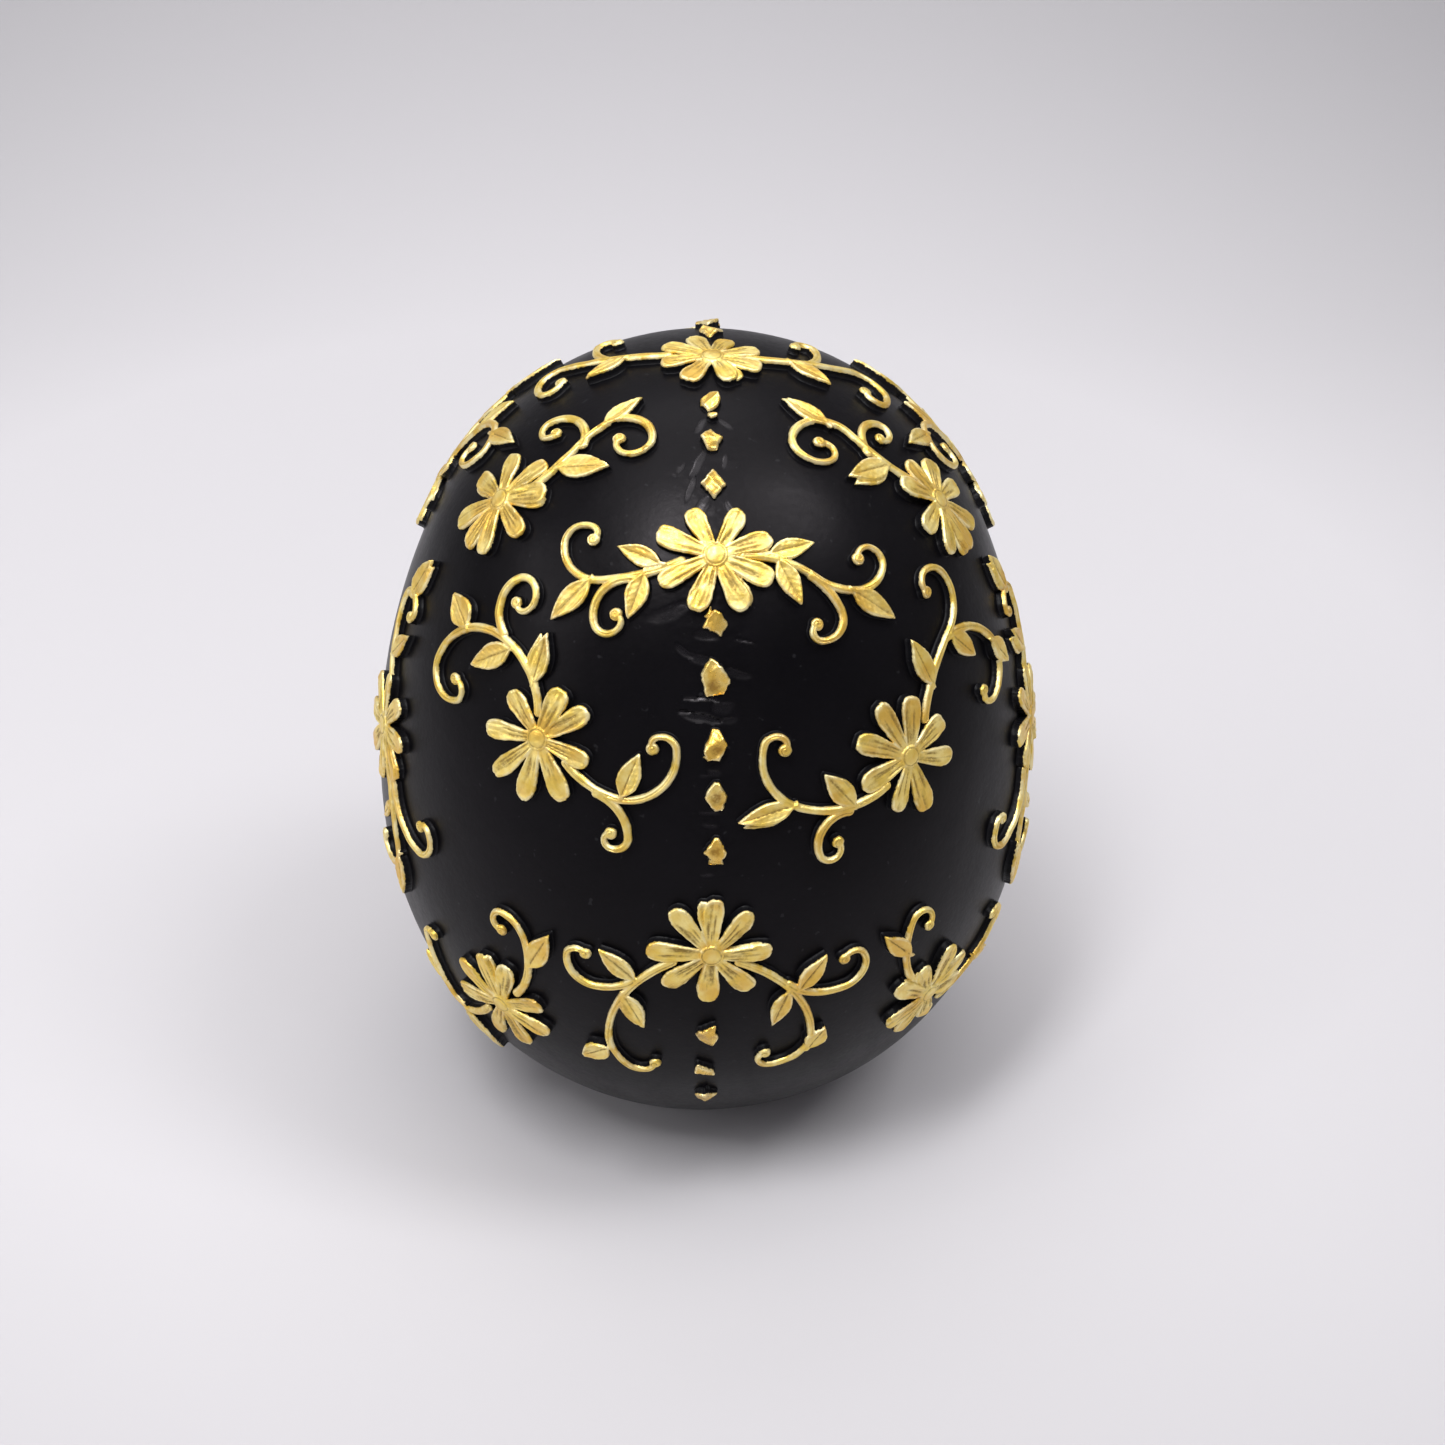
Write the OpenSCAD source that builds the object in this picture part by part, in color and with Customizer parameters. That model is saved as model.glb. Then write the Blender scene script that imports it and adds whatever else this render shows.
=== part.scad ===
// Upright ornamental egg: a black two-part shell with gilt raised flower sprays.
// Millimetres, +Z up. The origin is the middle of the flat foot, on the table.
// The front faces -Y. The shell parts on the plane X = 0.

/* [Body] */
// widest diameter of the egg
body_w = 130; // [126:1:136]
// height of the crown above the widest ring
crown_h = 90; // [86:1:96]
// depth of the blunt end below the widest ring
blunt_h = 72; // [71:0.5:76]
// radius of the cap at the crown
crown_r = 58; // [54:1:60]
// radius of the cap at the blunt end
blunt_r = 63.5; // [61:0.5:64]
// height of the widest ring above the table
waist_z = 70; // [68:0.5:70]

/* [Shell] */
// wall of the two half shells
wall = 3; // [2.5:0.1:4]
// thickness of the tongue along the parting line
lap_t = 1; // [0.6:0.1:1.2]
// reach of the tongue into the other half
lap_reach = 2.5; // [1:0.5:4]

/* [Foot] */
// diameter of the rubber pad
pad_d = 34; // [24:1:36]
// thickness of the rubber pad
pad_t = 1; // [0.5:0.1:1.5]

/* [Relief] */
// how far petals, leaves and vines stand off the shell
relief_t = 1.8; // [1.2:0.1:2.4]
// radius of the boss in each flower
boss_r = 2.1; // [1.5:0.1:2.6]
// height of the boss above the petals
boss_rise = 0.5; // [0.2:0.1:0.8]
// widest part of a petal
petal_w = 4.2; // [3.4:0.1:4.8]
// width of a vine where it leaves the flower
vine_w = 1.9; // [1.4:0.1:2.2]
// width of a vine at its tip
tip_w = 1.2; // [0.9:0.1:1.4]
// radius of the bead that ends a vine
bead_r = 1.1; // [0.8:0.1:1.3]
// leaf width as a share of its length
leaf_share = 0.44; // [0.3:0.02:0.5]
// width of a diamond stud
stud_w = 4.2; // [3:0.1:5]
// height of a diamond stud
stud_h = 5.6; // [4:0.1:6]

/* [Colours] */
// satin black paint
black = "#16151a"; // [#16151a, #2a282f]
// gilding on the relief
gold = "#d3bc72"; // [#d3bc72, #c5a956]
// rubber under the foot
rubber = "#242426"; // [#242426, #3a3634]

/* [Detail] */
// lean between one band of the egg and the next
lean_step = 6; // [3, 4, 5, 6]

/* [View] */
// node to build

/* [Hidden] */
$fn = 96;
half_w = body_w / 2;
// Each quarter of the outline is two arcs that meet without a corner.
function side_arc(h, r) = (half_w * half_w + pow(h - r, 2) - r * r) / (2 * (half_w - r));
up_R = side_arc(crown_h, crown_r);
dn_R = side_arc(blunt_h, blunt_r);
up_join = atan2(crown_h - crown_r, up_R - half_w);
dn_join = atan2(blunt_h - blunt_r, dn_R - half_w);
up_c = waist_z + crown_h - crown_r;
dn_c = waist_z - blunt_h + blunt_r;
thin = 0.3;
// A place on the shell is named by its azimuth, 0 at the front and 90 at the
// right, and by its lean: the angle between the surface's normal and the vertical.
function rho(l) =
    l <= 90 - up_join ? crown_r * sin(l) :
    l <= 90 ? half_w - up_R + up_R * sin(l) :
    l <= 90 + dn_join ? half_w - dn_R + dn_R * sin(l) : blunt_r * sin(l);
function zed(l) =
    l <= 90 - up_join ? up_c + crown_r * cos(l) :
    l <= 90 ? waist_z + up_R * cos(l) :
    l <= 90 + dn_join ? waist_z + dn_R * cos(l) : dn_c + blunt_r * cos(l);

// ---- Motifs -------------------------------------------------------------
// In a motif x runs right, y runs up the shell, and 0,0 is the flower's boss.
// vine = [x, y, heading, [[radius, sweep], ...]], a chain of arcs; + turns left.
// leaf = [x, y, heading, length].
crown_vines = [
    [-8, 2, 170, [[60, -20], [3, 90], [6, 60], [2, 150]]],
    [-19, 5, 130, [[11, -50], [2, -170]]],
    [7, 0.5, 5, [[42, 28], [4.5, -100], [6, -50], [2, -150]]],
    [18.5, 3.5, 55, [[9.5, 50], [2, 180]]]];
crown_leaves = [[-16, 3.5, 205, 8], [14.5, 1.5, -27, 8.5]];
shoulder_left_vines = [
    [4.5, 5, 70, [[25, 25], [30, -12], [5.5, -125], [3, -165], [1.5, -60]]],
    [6.5, 17, 125, [[6.5, 115], [2, 210]]]];
shoulder_left_leaves = [[6, 22, 92, 8], [6.5, 11, 37, 10]];
shoulder_right_vines = [
    [-3, 6.5, 122, [[20, -40], [6.5, 120], [4, 145], [2, 160]]],
    [-6.5, 15.5, 70, [[5.5, -110], [2, -210]]]];
shoulder_right_leaves = [[-7.5, 24, 92, 8.5], [-5.5, 11.5, 158, 10]];
upper_vines = [
    [-6, -1, -157, [[34, -25], [6.5, -95], [3.5, -110], [1.5, -120]]],
    [-14, -4, 165, [[6, 120], [2.5, 130], [1.5, 100]]],
    [5, 0, 3, [[22.5, -35], [10.5, 45], [5.5, 70], [3, 80], [2, 120]]],
    [17, -3, -30, [[14.5, -30], [4, -120], [1.5, -150]]]];
upper_leaves = [[-9.5, -1.5, 155, 8.5], [-22, -3.5, -138, 9.5], [-12.5, -3, -110, 8.5],
    [9.5, 0.5, 17, 8.5], [11, -0.5, -62, 9], [24.5, -5, -27, 9]];
mid_left_vines = [
    [-1, 4.5, 100, [[13.5, 150], [5, 135], [2, 160]]],
    [-11.5, 16, 140, [[6.5, -105], [3, -190], [1.5, -100]]],
    [6, -3, -40, [[18.5, 30], [9, 115], [2.5, 95], [1.5, 110]]],
    [12.5, -7, -10, [[8, -75], [2.5, -110], [1.5, -150]]]];
mid_left_leaves = [[-20.5, 14.5, 155, 7], [-9, 14, -147, 10.5], [-3, 9.5, 85, 9.5],
    [17, -6.5, 77, 9]];
mid_right_vines = [
    [4.8, 5.6, 70, [[28, -35], [7.5, 80], [4.5, 75], [2.2, 120]]],
    [13.8, 17.9, 12, [[14, -68], [7, -95], [2.5, -130]]],
    [-5.5, -4, -155, [[18.5, -55], [10, -85], [2, -115], [1.5, -90]]],
    [-13.5, -6.5, 170, [[5.5, 120], [2, 200]]]];
mid_right_leaves = [[7.8, 11.2, 108, 10], [15.2, 18, -46, 8.5], [27.5, 12.5, -50, 8.5],
    [-12.5, -5.5, 124, 9], [-23.5, -2.5, -172, 9.5]];
lower_vines = [
    [-7, -2, -150, [[24, 60], [13, 45], [3, 130]]],
    [-14.5, -7.5, -135, [[9.5, -45], [5.5, -100], [2, -130]]],
    [5, -2, -22, [[23, -68], [7.5, -95], [2, -155]]],
    [14.5, -8.5, -45, [[12, 55], [5, 110], [2, 130]]]];
lower_leaves = [[-14, -7, 139, 9], [-16, -11, -65, 9], [-19, -27, -140, 6.5],
    [16.5, -10, 56, 9], [14.5, -10, -108, 9], [19, -27, 60, 6]];
low_left_vines = [
    [4.5, 5, 50, [[16.5, 55], [6, 65], [2, 190]]],
    [-5, -5, -125, [[30, -22], [4, -105], [45, -20], [2, -120]]]];
low_left_leaves = [[8.5, 14, 62, 10], [-14.5, -13.5, -72, 13.5], [-20, -8, 130, 6.5]];
low_right_vines = [
    [-5.5, 6.5, 130, [[16, -60], [2.5, -140], [2.5, -60]]],
    [5, -4.5, 5, [[30, 25], [12, 40], [2, 150]]]];
low_right_leaves = [[-8.5, 15, 135, 9], [15.5, -1, -20, 7]];
side_left_vines = [
    [0, 6, 105, [[25, 15], [30, -22], [4.5, -150], [1.5, -130]]],
    [4, -6, -60, [[60, -16], [5, -150], [1.5, -100]]],
    [7.5, -7.5, -60, [[60, -3], [12, 60], [4, 130], [1.5, 120]]]];
side_left_leaves = [[-2, 27.5, 70, 9.5], [-3, 14, 51, 9], [11, -23, -95, 10], [7, -14, -130, 6]];
outer_vines = [
    [3, 7, 85, [[40, -15], [8, -70], [4.5, -165], [2, -130]]],
    [-3, 7, 100, [[40, 20], [9, 65], [5, 150], [2, 150]]]];
outer_leaves = [[5, 17, 92, 8.5], [13, 22, 36, 9], [-7, 20, 100, 11], [-5, 12, 60, 7]];
flank_vines = [
    [4, 6, 60, [[16, 50], [6, 80], [2, 190]]],
    [-5, -5, -130, [[16, 50], [6, 90], [2, 150]]]];
flank_leaves = [[6.5, 13, 40, 9], [-8, -10, -170, 9]];
// leans of the diamond studs down the front seam and down the back seam
front_studs = [16, 25, 34, 58.5, 66.5, 71.5, 75.5, 80, 102, 109.5, 119];
back_studs = [11, 20, 29, 58.5, 66.5, 71.5, 75.5, 80, 102, 109.5, 119];

// ---- Body ---------------------------------------------------------------
// right half of the egg's outline, grown by g
module outline(g = 0) polygon([for (l = [0 : lean_step : 180])
    [rho(l) + (l == 180 ? 0 : g * sin(l)), zed(l) + g * cos(l)]]);
module egg(g = 0) rotate_extrude() outline(g);

// wall section, with a flat foot and a flat floor above it
module wall_section(out, in) {
    difference() {
        intersection() {
            outline(out);
            translate([0, pad_t - out]) square([200, 300]);
        }
        intersection() {
            outline(in);
            translate([0, pad_t - in]) square([200, 300]);
        }
    }
}
module half_wall() rotate([0, 0, 90]) rotate_extrude(angle = 180) wall_section(0, -wall);
// tongue along the whole parting line, centred in the wall
module tongue() intersection() {
    rotate_extrude() wall_section((lap_t - wall) / 2, -(lap_t + wall) / 2);
    translate([0, -100, 0]) cube([lap_reach, 200, 300]);
}

// ---- Relief -------------------------------------------------------------
module on_shell(az, lean)
    rotate([0, 0, az]) translate([0, -rho(lean), zed(lean)]) rotate([lean, 0, 0]) children();
// a flat drawing carried onto the shell as a plate of thickness t
module plate(az, lean, t = relief_t) intersection() {
    difference() {
        egg(t);
        egg();
    }
    on_shell(az, lean) translate([0, 0, -24]) linear_extrude(30) children();
}

// half width of a petal at s, 0 at the boss and 1 at the tip
function petal_half(s) = petal_w / 2
    * (s < 0.72 ? 0.4 + 0.6 * sin(s * 125) : sqrt(1 - pow((s - 0.72) / 0.28, 2)));
petal_s = [0.12, 0.42, 0.72, 0.88, 0.965];
module petal(r) polygon(concat(
    [for (s = petal_s) [r * s, -petal_half(s)]], [[r, 0]],
    [for (i = [len(petal_s) - 1 : -1 : 0]) [r * petal_s[i], petal_half(petal_s[i])]]));
module petals(r, turn) for (k = [0 : 7]) rotate(turn + 45 * k) petal(r);

leaf_s = [0.16, 0.42, 0.72];
function leaf_half(s, l) = l * leaf_share / 2 * sin(180 * pow(s, 0.8));
module leaf(v) translate([v[0], v[1]]) rotate(v[2]) polygon(concat([[-0.8, 0.4], [-0.8, -0.4]],
    [for (s = leaf_s) [v[3] * s, -leaf_half(s, v[3])]], [[v[3], 0]],
    [for (i = [2 : -1 : 0]) [v[3] * leaf_s[i], leaf_half(leaf_s[i], v[3])]]));

// points [x, y, heading] along a chain of arcs
function turn_pt(p, r, s, f) = let (k = s > 0 ? 1 : -1, a = p[2] + s * f) [
    p[0] + r * k * (sin(a) - sin(p[2])), p[1] - r * k * (cos(a) - cos(p[2])), a];
function arc_steps(r, s) = max(ceil(abs(s) / 32), ceil(r * abs(s) / 300));
function walk(p, arcs, i = 0) = i == len(arcs) ? [p] :
    let (r = arcs[i][0], s = arcs[i][1], n = arc_steps(r, s)) concat(
        [for (k = [0 : n - 1]) turn_pt(p, r, s, k / n)],
        walk(turn_pt(p, r, s, 1), arcs, i + 1));
function side_pt(p, d) = [p[0] - d * sin(p[2]), p[1] + d * cos(p[2])];
module vine(v) {
    w = walk([v[0], v[1], v[2]], v[3]);
    n = len(w) - 1;
    polygon(concat(
        [for (i = [0 : n]) side_pt(w[i], (vine_w + (tip_w - vine_w) * i / n) / 2)],
        [for (i = [n : -1 : 0]) side_pt(w[i], -(vine_w + (tip_w - vine_w) * i / n) / 2)]));
    translate([w[n][0], w[n][1]]) rotate(w[n][2]) circle(bead_r, $fn = 16);
}

module flower(az, lean, r, turn) color(gold) union() {
    plate(az, lean) petals(r, turn);
    plate(az, lean, relief_t + boss_rise) circle(boss_r);
}
// vines and leaves beside a flower; strips thinner than twice thin are left out
module vines(az, lean, r, turn, stems, leaves) color(gold) plate(az, lean)
    offset(delta = thin) offset(delta = -thin) difference() {
        union() {
            for (v = stems) vine(v);
            for (v = leaves) leaf(v);
        }
        petals(r, turn);
        circle(0.7 * r);
    }
module studs(az, leans) color(gold) for (l = leans) plate(az, l)
    polygon([[0, -stud_h / 2], [stud_w / 2, 0], [0, stud_h / 2], [-stud_w / 2, 0]]);
// the same motif turned over left to right
function flip_vines(a) = [for (v = a) [-v[0], v[1], 180 - v[2], [for (q = v[3]) [q[0], -q[1]]]]];
function flip_leaves(a) = [for (v = a) [-v[0], v[1], 180 - v[2], v[3]]];

// ---- Nodes --------------------------------------------------------------
module left_half_shell() color(black) union() {
    half_wall();
    tongue();
}
module right_half_shell() color(black) difference() {
    mirror([1, 0, 0]) half_wall();
    tongue();
}
module rubber_pad() color(rubber) cylinder(d = pad_d, h = pad_t);
module crown_flower() flower(0, 3, 10, 20);
module crown_vine() vines(0, 3, 10, 20, crown_vines, crown_leaves);
module front_upper_flower() flower(0, 47, 10.6, 22);
module front_upper_vine() vines(0, 47, 10.6, 22, upper_vines, upper_leaves);
module front_lower_flower() flower(0, 89, 11.4, 0);
module front_lower_vine() vines(0, 89, 11.4, 0, lower_vines, lower_leaves);
module front_shoulder_left_flower() flower(-60, 48, 10.6, -12);
module front_shoulder_left_vine() vines(-60, 48, 10.6, -12, shoulder_left_vines, shoulder_left_leaves);
module front_shoulder_right_flower() flower(66, 50, 10.6, 3);
module front_shoulder_right_vine() vines(66, 50, 10.6, 3, shoulder_right_vines, shoulder_right_leaves);
module front_mid_left_flower() flower(-31, 73, 11.4, -5);
module front_mid_left_vine() vines(-31, 73, 11.4, -5, mid_left_vines, mid_left_leaves);
module front_mid_right_flower() flower(35, 75, 11.4, 21);
module front_mid_right_vine() vines(35, 75, 11.4, 21, mid_right_vines, mid_right_leaves);
module front_low_left_flower() flower(-38, 104, 11.6, 20);
module front_low_left_vine() vines(-38, 104, 11.6, 20, low_left_vines, low_left_leaves);
module front_low_right_flower() flower(42, 104, 10.6, 20);
module front_low_right_vine() vines(42, 104, 10.6, 20, low_right_vines, low_right_leaves);
module side_left_flower() flower(-73, 81, 11, 10);
module side_left_vine() vines(-73, 81, 11, 10, side_left_vines, side_left_leaves);
module side_right_flower() flower(76, 81, 11, 170);
module side_right_vine()
    vines(76, 81, 11, 170, flip_vines(side_left_vines), flip_leaves(side_left_leaves));
module outer_left_flower() flower(-105, 64, 11, 0);
module outer_left_vine() vines(-105, 64, 11, 0, outer_vines, outer_leaves);
module outer_right_flower() flower(106, 64, 11, 0);
module outer_right_vine() vines(106, 64, 11, 0, flip_vines(outer_vines), flip_leaves(outer_leaves));
module flank_left_flower() flower(-105, 100, 11, 10);
module flank_left_vine() vines(-105, 100, 11, 10, flip_vines(flank_vines), flip_leaves(flank_leaves));
module flank_right_flower() flower(105, 100, 11, 170);
module flank_right_vine() vines(105, 100, 11, 170, flank_vines, flank_leaves);
module back_upper_flower() flower(180, 47, 10.6, 22);
module back_upper_vine() vines(180, 47, 10.6, 22, upper_vines, upper_leaves);
module back_lower_flower() flower(180, 89, 11.4, 0);
module back_lower_vine() vines(180, 89, 11.4, 0, lower_vines, lower_leaves);
module back_mid_left_flower() flower(149, 73, 11.4, -5);
module back_mid_left_vine() vines(149, 73, 11.4, -5, mid_left_vines, mid_left_leaves);
module back_mid_right_flower() flower(-145, 75, 11.4, 21);
module back_mid_right_vine() vines(-145, 75, 11.4, 21, mid_right_vines, mid_right_leaves);
module back_low_left_flower() flower(142, 104, 11.6, 20);
module back_low_left_vine() vines(142, 104, 11.6, 20, low_left_vines, low_left_leaves);
module back_low_right_flower() flower(-138, 104, 10.6, 20);
module back_low_right_vine() vines(-138, 104, 10.6, 20, low_right_vines, low_right_leaves);
module front_stud_row() studs(0, front_studs);
module back_stud_row() studs(180, back_studs);

left_half_shell();
right_half_shell();
rubber_pad();
crown_flower();
crown_vine();
front_upper_flower();
front_upper_vine();
front_lower_flower();
front_lower_vine();
front_shoulder_left_flower();
front_shoulder_left_vine();
front_shoulder_right_flower();
front_shoulder_right_vine();
front_mid_left_flower();
front_mid_left_vine();
front_mid_right_flower();
front_mid_right_vine();
front_low_left_flower();
front_low_left_vine();
front_low_right_flower();
front_low_right_vine();
side_left_flower();
side_left_vine();
side_right_flower();
side_right_vine();
outer_left_flower();
outer_left_vine();
outer_right_flower();
outer_right_vine();
flank_left_flower();
flank_left_vine();
flank_right_flower();
flank_right_vine();
back_upper_flower();
back_upper_vine();
back_lower_flower();
back_lower_vine();
back_mid_left_flower();
back_mid_left_vine();
back_mid_right_flower();
back_mid_right_vine();
back_low_left_flower();
back_low_left_vine();
back_low_right_flower();
back_low_right_vine();
front_stud_row();
back_stud_row();
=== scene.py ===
"""Upright ornamental egg: satin black shell, gilt relief sprays laid on it by hand, rubber foot pad."""
import math

import bmesh
import bpy
import numpy as np
from mathutils import Matrix, Vector
from mathutils.geometry import tessellate_polygon


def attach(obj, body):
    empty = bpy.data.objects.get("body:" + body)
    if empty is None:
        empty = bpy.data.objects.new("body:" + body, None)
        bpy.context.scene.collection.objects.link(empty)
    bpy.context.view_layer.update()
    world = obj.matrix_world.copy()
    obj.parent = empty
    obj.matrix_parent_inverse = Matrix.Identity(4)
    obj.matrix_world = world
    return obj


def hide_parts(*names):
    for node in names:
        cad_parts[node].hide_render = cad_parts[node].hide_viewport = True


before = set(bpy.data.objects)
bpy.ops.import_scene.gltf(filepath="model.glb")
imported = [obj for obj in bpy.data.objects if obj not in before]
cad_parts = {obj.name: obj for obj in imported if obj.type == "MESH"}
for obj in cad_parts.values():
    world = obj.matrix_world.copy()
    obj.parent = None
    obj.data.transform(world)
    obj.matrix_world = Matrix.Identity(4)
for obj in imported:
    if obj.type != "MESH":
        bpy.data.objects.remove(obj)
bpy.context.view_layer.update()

MM = 0.001
GRID = 0.17  # spacing of the relief's mesh, mm

# ---- The egg: four arcs turned about the upright axis, in millimetres ------------------
HALF_W, CROWN_H, BLUNT_H, CROWN_R, BLUNT_R, WAIST_Z = 65.0, 90.0, 72.0, 58.0, 63.5, 70.0
PAD_T, WALL = 1.0, 3.0
RELIEF = 1.75  # how far the relief's top stands off the shell


def side_arc(h, r):
    return (HALF_W ** 2 + (h - r) ** 2 - r * r) / (2 * (HALF_W - r))


UP_R, DN_R = side_arc(CROWN_H, CROWN_R), side_arc(BLUNT_H, BLUNT_R)
UP_JOIN = math.pi / 2 - math.atan2(CROWN_H - CROWN_R, UP_R - HALF_W)
DN_JOIN = math.pi / 2 + math.atan2(BLUNT_H - BLUNT_R, DN_R - HALF_W)
UP_C, DN_C = WAIST_Z + CROWN_H - CROWN_R, WAIST_Z - BLUNT_H + BLUNT_R
# The arcs from the crown down: radius, centre out and up, and the leans where one gives way
ARC_R = np.array([CROWN_R, UP_R, DN_R, BLUNT_R])
ARC_OUT = np.array([0, HALF_W - UP_R, HALF_W - DN_R, 0])
ARC_UP = np.array([UP_C, WAIST_Z, WAIST_Z, DN_C])
ARC_ENDS = np.array([UP_JOIN, math.pi / 2, DN_JOIN])


def egg_rz(lean, off=0.0):
    """Radius and height of the outline where its normal leans by lean from the vertical."""
    arc = np.searchsorted(ARC_ENDS, lean)
    reach = ARC_R[arc] + off
    return ARC_OUT[arc] + reach * np.sin(lean), ARC_UP[arc] + reach * np.cos(lean)


def egg_gap(p):
    """Distance of points from the egg's surface, and the lean of the surface nearest to them."""
    r, z = np.hypot(p[:, 0], p[:, 1]), p[:, 2]
    leans = [np.arctan2(r - out, z - up) for out, up in zip(ARC_OUT, ARC_UP)]
    below = np.where(leans[2] <= DN_JOIN, 2, 3)
    arc = np.where(leans[0] <= UP_JOIN, 0, np.where(z >= WAIST_Z, 1, below))
    gap = np.hypot(r - ARC_OUT[arc], z - ARC_UP[arc]) - ARC_R[arc]
    return gap, np.choose(arc, leans)


def on_shell(az, lean, x, y, h):
    """Points x, y of a flat motif carried square onto the shell at az, lean, and h above it."""
    a, l = math.radians(az), math.radians(lean)
    r, z = egg_rz(l, RELIEF)
    origin = np.array([r * math.sin(a), -r * math.cos(a), z])
    right = np.array([math.cos(a), math.sin(a), 0.0])
    out = np.array([math.sin(l) * math.sin(a), -math.sin(l) * math.cos(a), math.cos(l)])
    up = np.cross(out, right)
    p = origin + np.outer(x, right) + np.outer(y, up)
    for _ in range(8):
        gap, lean_p = egg_gap(p)
        rad = np.hypot(p[:, 0], p[:, 1]) + 1e-9
        n = np.stack([p[:, 0] / rad * np.sin(lean_p), p[:, 1] / rad * np.sin(lean_p),
                      np.cos(lean_p)], 1)
        p = p - np.outer((gap - RELIEF) / np.maximum(n @ out, 0.25), out)
    return p + n * (h - RELIEF)[:, None]


# ---- Noise that is the same in every run ----------------------------------------------
PERIOD = 128
LATTICE = np.random.default_rng(11).uniform(-1, 1, (PERIOD, PERIOD))


def noise(x, y, seed=0):
    """Smooth noise from -1 to 1 with a wavelength of about 1."""
    x, y = x + 19.37 * seed, y - 7.13 * seed
    i, j = np.floor(x).astype(int), np.floor(y).astype(int)
    u, v = x - i, y - j
    u, v = u * u * (3 - 2 * u), v * v * (3 - 2 * v)
    i0, i1, j0, j1 = i % PERIOD, (i + 1) % PERIOD, j % PERIOD, (j + 1) % PERIOD
    low = LATTICE[j0, i0] * (1 - u) + LATTICE[j0, i1] * u
    return low * (1 - v) + (LATTICE[j1, i0] * (1 - u) + LATTICE[j1, i1] * u) * v


# ---- Strokes of relief paste ----------------------------------------------------------
# Each stroke gives, for points x, y: how far inside its outline they lie, the height of
# its top there, and how deep in a groove they are (0 to 1). All in mm.
SHOULDER = 0.24  # radius of the rounding at a top's edge
LIP = 0.07  # how far a piece's rim stands proud of its middle
BLUNT = 0.72  # share of a petal's length where its blunt end begins
UNDER = -0.5  # level of a petal or leaf that lies under another
CRUMB_DROP = 0.25  # how much lower each crumb beside a stud lies than the one before


def lip(d):
    return LIP * np.exp(-((d - 0.36) / 0.2) ** 2)


def shoulder(d):
    """Drop of a top surface towards its edge, d inside the outline."""
    e = np.clip(SHOULDER - d, 0, SHOULDER)
    return SHOULDER - np.sqrt(SHOULDER ** 2 - e ** 2)


def rag(x, y, seed, size=0.1):
    return size * (0.6 * noise(x / 1.7, y / 1.7, seed) + 0.55 * noise(x / 0.6, y / 0.6, seed + 3)
                   + 0.25 * noise(x / 0.28, y / 0.28, seed + 5))


def lengthways(stroke, x, y):
    """Distances along and across a stroke's axis."""
    c, s = math.cos(stroke.a), math.sin(stroke.a)
    dx, dy = x - stroke.o[0], y - stroke.o[1]
    return dx * c + dy * s, dy * c - dx * s


class Petal:
    """A slab of paste pulled out from the boss, with grooves along it and a blunt end."""

    def __init__(self, x, y, ang, length, width, seed, level=0.0, square=2.4):
        self.o, self.a, self.len, self.w = (x, y), math.radians(ang), length, width / 2
        self.seed, self.level, self.square = seed, level, square
        self.reach = (x + math.cos(self.a) * length / 2, y + math.sin(self.a) * length / 2,
                      length / 2 + width / 2 + 0.4)
        rng = np.random.default_rng(seed)
        self.cuts = [(-0.42 + 0.15 * rng.normal(), rng.uniform(0.1, 0.3), rng.uniform(0.55, 0.9)),
                     (0.02 + 0.15 * rng.normal(), rng.uniform(0.15, 0.4), rng.uniform(0.4, 0.85)),
                     (0.45 + 0.15 * rng.normal(), rng.uniform(0.1, 0.3), rng.uniform(0.55, 0.9))]
        self.tilt, self.bend = rng.normal() * 0.09, rng.normal() * 0.035

    def at(self, x, y):
        u, t = lengthways(self, x, y)
        t = t - self.bend * u * u / self.len
        f = u / self.len
        half = self.w * (0.32 + 0.68 * np.clip(f / BLUNT, 0.01, 1) ** 0.9)
        end = np.clip((f - BLUNT) / (1 - BLUNT), 0, 2)
        q = (np.abs(t / self.w) ** self.square + end ** self.square) ** (1 / self.square)
        d = np.where(f < BLUNT, half - np.abs(t), (1 - q) * self.w)
        d = np.minimum(d, u + 0.5) + rag(x, y, self.seed) * np.clip(f * 2, 0.3, 1)
        k = t / np.maximum(half, 0.3)
        groove = np.zeros_like(x)
        for at, start, stop in self.cuts:
            fade = np.clip((f - start) / 0.12, 0, 1) * np.clip((stop - f) / 0.15, 0, 1)
            wander = 0.1 * noise(f * 3, np.full_like(f, at * 9), self.seed)
            groove = np.maximum(groove, fade * np.exp(-((k - at - wander) / 0.13) ** 2))
        streak = noise(u / 2.6, t / 0.22, self.seed + 9)
        pull = noise(u / 4.5, t / 0.62, self.seed + 12)
        h = (RELIEF + self.level - 0.3 * np.clip(1 - f / 0.35, 0, 1) + self.tilt * k
             + 0.05 * k * k - 0.2 * groove + 0.04 * streak + 0.1 * pull - shoulder(d) + lip(d)
             + 0.05 * noise(x / 1.4, y / 1.4, self.seed + 2))
        # Darker in the grooves, and in random streaks and pulls of the paste
        dark_tone = groove + 0.3 * np.clip(streak, 0, 1) + 0.75 * np.clip(-pull - 0.1, 0, 1)
        return d, h, np.clip(dark_tone, 0, 1)


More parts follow.
